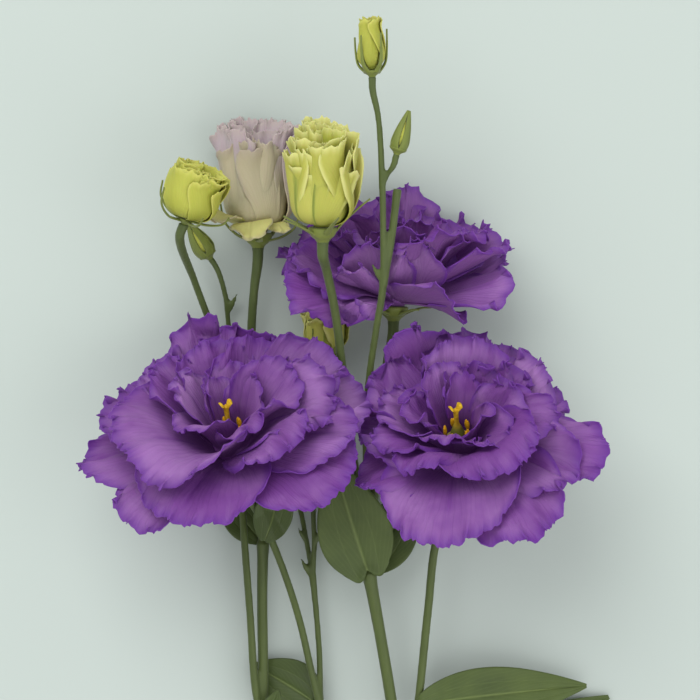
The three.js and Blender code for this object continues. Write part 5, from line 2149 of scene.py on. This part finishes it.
# Pistils and stamens


@dataclass
class Eye:
    """The pistil and the ring of stamens in an open bloom.

    height is the pistil's, up to where its two lobes spread, and turn the way that the first of
    them looks, in radians. A lobe starts lobe_overlap below that, leans out as lobe_lean says,
    and sags at its sides. thread is a stamen's line with its radii, and anther_place where the
    halves of its anther are: outwards, aside and up.
    """

    head: str
    height: float = 14.0
    turn: float = 0.5
    stamens: int = 5
    base: float = ROOT + CORE_HEIGHT + CALYX_GAP
    lobe_overlap: float = 2.5
    lobe_height: float = 3.6
    lobe_lean: tuple[float, float] = (0.3, 1.5)
    lobe_sag: float = 0.25
    lobe_thickness: float = 0.45
    lobe_half: tuple[float, float] = (0.5, 1.7)
    ring: tuple[float, float, float] = (2.6, 4.2, 0.9)  # its inner and outer radius and height
    thread: Path = field(
        default_factory=lambda: [(3.4, 0, 0.4, 0.5), (3.7, 0, 2.2, 0.42), (3.8, 0, 3.8, 0.35)]
    )
    anther: Point = (0.6, 0.6, 1.8)
    anther_place: Point = (3.8, 0.4, 4.6)
    ball_grid: tuple[int, int] = (20, 12)
    rod_grid: tuple[int, int] = (10, 14)

    def lobe(self, turn: float) -> bpy.types.Object:
        """Makes one of the stigma's two flat lobes, which flare upwards.

        Args:
            turn: Which way it looks round the axis, in radians.

        Returns:
            A closed fan-shaped body.
        """
        base = self.base + self.height - self.lobe_overlap
        first, more = self.lobe_lean
        x, y = math.cos(turn), math.sin(turn)

        def sheet(along: np.ndarray, across: np.ndarray) -> np.ndarray:
            """Rolls the grid into a flat funnel-like fan.

            Args:
                along: Places up the lobe.
                across: Places round it.

            Returns:
                Layout points.
            """
            spin = across * math.pi
            ends = (along <= 0) | (along >= 1)
            thick = np.where(ends, 0, self.lobe_thickness)
            wide = np.where(ends, 0, mix(*self.lobe_half, along))
            lean = first + more * along**1.4
            flat, side = lean + thick * np.cos(spin), wide * np.sin(spin)
            rise = base + self.lobe_height * along - self.lobe_sag * side**2 * along
            local = np.column_stack([flat * x + side * -y, flat * y + side * x, rise])
            return HEADS[self.head].out(local)

        return rolled(sheet, *self.ball_grid, tint=1.0)

    def ball(self, centre: Point, size: Point) -> bpy.types.Object:
        """Makes a smooth ellipsoid.

        Args:
            centre: Its middle in the bloom's frame.
            size: Its three radii.

        Returns:
            A closed body.
        """

        def sheet(along: np.ndarray, across: np.ndarray) -> np.ndarray:
            """Rolls the grid into the ellipsoid.

            Args:
                along: Places up the ellipsoid.
                across: Places round it.

            Returns:
                Layout points.
            """
            up = (along - 0.5) * math.pi
            flat = np.where((along <= 0) | (along >= 1), 0, np.cos(up))
            local = about(flat, across * math.pi, np.sin(up))
            return HEADS[self.head].out(local * np.array(size) + np.array(centre))

        return rolled(sheet, *self.ball_grid, tint=1.0)

    def rod(self, line: Path) -> bpy.types.Object:
        """Makes a thin round thread.

        Args:
            line: Its points and radii in the bloom's frame.

        Returns:
            A closed body.
        """

        def sheet(along: np.ndarray, across: np.ndarray) -> np.ndarray:
            """Rolls the grid round the thread.

            Args:
                along: Places along the thread.
                across: Places round it.

            Returns:
                Layout points.
            """
            centre = smooth_line(line, along)
            radius = np.interp(along, np.linspace(0, 1, len(line)), [p[3] for p in line])
            radius = np.where((along <= 0) | (along >= 1), 0, radius)
            turn = across * math.pi
            centre[:, 0] += radius * np.cos(turn)
            centre[:, 1] += radius * np.sin(turn)
            return HEADS[self.head].out(centre)

        return rolled(sheet, *self.rod_grid)

    def stamen(self, azimuth: float) -> list[bpy.types.Object]:
        """Makes one thread with the two halves of its anther.

        Args:
            azimuth: Its place round the axis, in radians.

        Returns:
            The three closed bodies.
        """
        x, y = math.cos(azimuth), math.sin(azimuth)
        out, aside, up = self.anther_place
        line = [(r * x, r * y, self.base + z, thick) for r, _, z, thick in self.thread]
        pieces = [self.rod(line)]
        for way in (-1, 1):
            middle = (out * x - aside * y * way, out * y + aside * x * way, self.base + up)
            pieces.append(self.ball(middle, self.anther))
        return pieces

    def build(self, pistil: bpy.types.Material, stamen: bpy.types.Material) -> None:
        """Makes and dresses both pieces.

        Args:
            pistil: The pistil's green.
            stamen: The stamens' yellow.
        """
        base, top = self.base, self.base + self.height
        column = raised(base, (0, 0), (1.9, 0), (2.3, 2.7), (1.5, 5.7), (0.8, 7.7))
        column += [(0.7, top - 1), (0, top)]
        pieces = [turned(self.head, rounded(column, steps=5))]
        pieces += [self.lobe(self.turn + math.pi * side) for side in range(2)]
        finish(join(pieces, f"stigma_{self.head}"), f"pistil_{self.head}", pistil)
        inner, outer, high = self.ring
        corners = [(inner, 0), (outer, 0), (outer, high), (inner, high), (inner, 0)]
        pieces = [turned(self.head, raised(base, *corners))]
        for k in range(self.stamens):
            pieces += self.stamen((k + 0.5) / self.stamens * 2 * math.pi)
        finish(join(pieces, f"anthers_{self.head}"), f"stamens_{self.head}", stamen)


# Studio


@dataclass(frozen=True)
class Lamp:
    """One soft square lamp: its place and side in metres, and its power in watts."""

    name: str
    place: Point
    size: float
    power: float

    def hang(self, target: Vector) -> None:
        """Hangs the lamp in the scene.

        Args:
            target: The point that it shines at.
        """
        data = bpy.data.lights.new(self.name, "AREA")
        data.size = self.size
        data.energy = self.power
        lamp = bpy.data.objects.new(self.name, data)
        lamp.location = self.place
        lamp.rotation_euler = (target - Vector(self.place)).to_track_quat("-Z", "Y").to_euler()
        bpy.context.scene.collection.objects.link(lamp)


@dataclass
class Studio:
    """A pale floor, soft light and a camera that looks straight down.

    pixel is how many millimetres a pixel shows at focus_height, and middle the layout point in
    the picture's middle. The floor's size and drop, and the lamps' target, are in metres.
    """

    pixel: float = 0.31
    pixels: int = 700
    sensor: float = 36.0
    middle: tuple[float, float] = (0.0, 58.9)
    focus_height: float = 30.0
    distance: float = 1700.0
    sight: float = 20.0
    floor_colour: Colour = linear(186, 196, 190)
    floor_size: float = 6.0
    floor_drop: float = 0.0002
    target: Point = (0.0, 0.05, 0.02)
    room_colour: tuple[float, float, float, float] = (0.98, 0.99, 1.0, 1.0)
    room_light: float = 0.68
    lamps: tuple[Lamp, ...] = (
        Lamp("key", (-0.5, 0.9, 1.2), 1.3, 14.5),
        Lamp("fill", (0.9, -0.3, 1.0), 1.1, 5.0),
        Lamp("front", (0.0, -0.9, 1.1), 1.2, 4.0),
    )

    def build(self) -> None:
        """Sets the stage."""
        self.floor()
        self.camera()
        for lamp in self.lamps:
            lamp.hang(Vector(self.target))
        self.room()

    def floor(self) -> None:
        """Lays the floor."""
        bpy.ops.object.select_all(action="DESELECT")
        bpy.ops.mesh.primitive_plane_add(size=self.floor_size, location=(0, 0, -self.floor_drop))
        piece = bpy.context.active_object
        piece.name = "floor"
        shader = Shader("floor", Roughness=0.9, Specular_IOR_Level=0.1)
        cloud = shader.noise(shader.place(), 3.0)
        lighter = tuple(min(1.0, channel * 1.02) for channel in self.floor_colour)
        shader.colour(shader.blend(self.floor_colour, lighter, cloud))
        piece.data.materials.append(shader.material)

    def camera(self) -> None:
        """Hangs the camera over the part of the stem that the photograph shows."""
        data = bpy.data.cameras.new("camera")
        camera = bpy.data.objects.new("camera", data)
        bpy.context.scene.collection.objects.link(camera)
        x, y = (np.array(self.middle) + LAYOUT_SHIFT[:2]) * MM
        camera.location = (x, y, (self.focus_height + self.distance) * MM)
        camera.rotation_euler = (0.0, 0.0, 0.0)
        data.sensor_width = self.sensor
        data.lens = self.sensor * self.distance / (self.pixels * self.pixel)
        data.clip_end = self.sight
        bpy.context.scene.camera = camera

    def room(self) -> None:
        """Fills the room with pale light, and keeps its colours as they are."""
        world = bpy.data.worlds.new("room")
        world.use_nodes = True
        back = world.node_tree.nodes["Background"]
        back.inputs["Color"].default_value = self.room_colour
        back.inputs["Strength"].default_value = self.room_light
        bpy.context.scene.world = world
        bpy.context.scene.view_settings.view_transform = "Standard"


# Assembly


def main() -> None:
    """Builds everything in order."""
    logging.basicConfig(level=logging.INFO, format="%(name)s: %(message)s")
    petal_looks = {look: look.material() for look in (PURPLE, CREAM, LIME, BUD)}
    sepal, pistil, stamen = SEPAL.material(), PISTIL.material(), STAMEN.material()
    StemWork().build(STALK.material())
    green = LEAF.material()
    for leaf in LEAVES:
        leaf.build(green)
    for corolla in COROLLAS:
        corolla.build(petal_looks[corolla.look])
    for closed_bud in CLOSED_BUDS:
        closed_bud.build(petal_looks[BUD])
    for calyx in CALYXES:
        calyx.build(sepal)
    for head in ("left", "right", "upper"):
        Eye(head).build(pistil, stamen)
    Studio().build()
    bpy.context.view_layer.update()


if __name__ == "__main__":
    main()
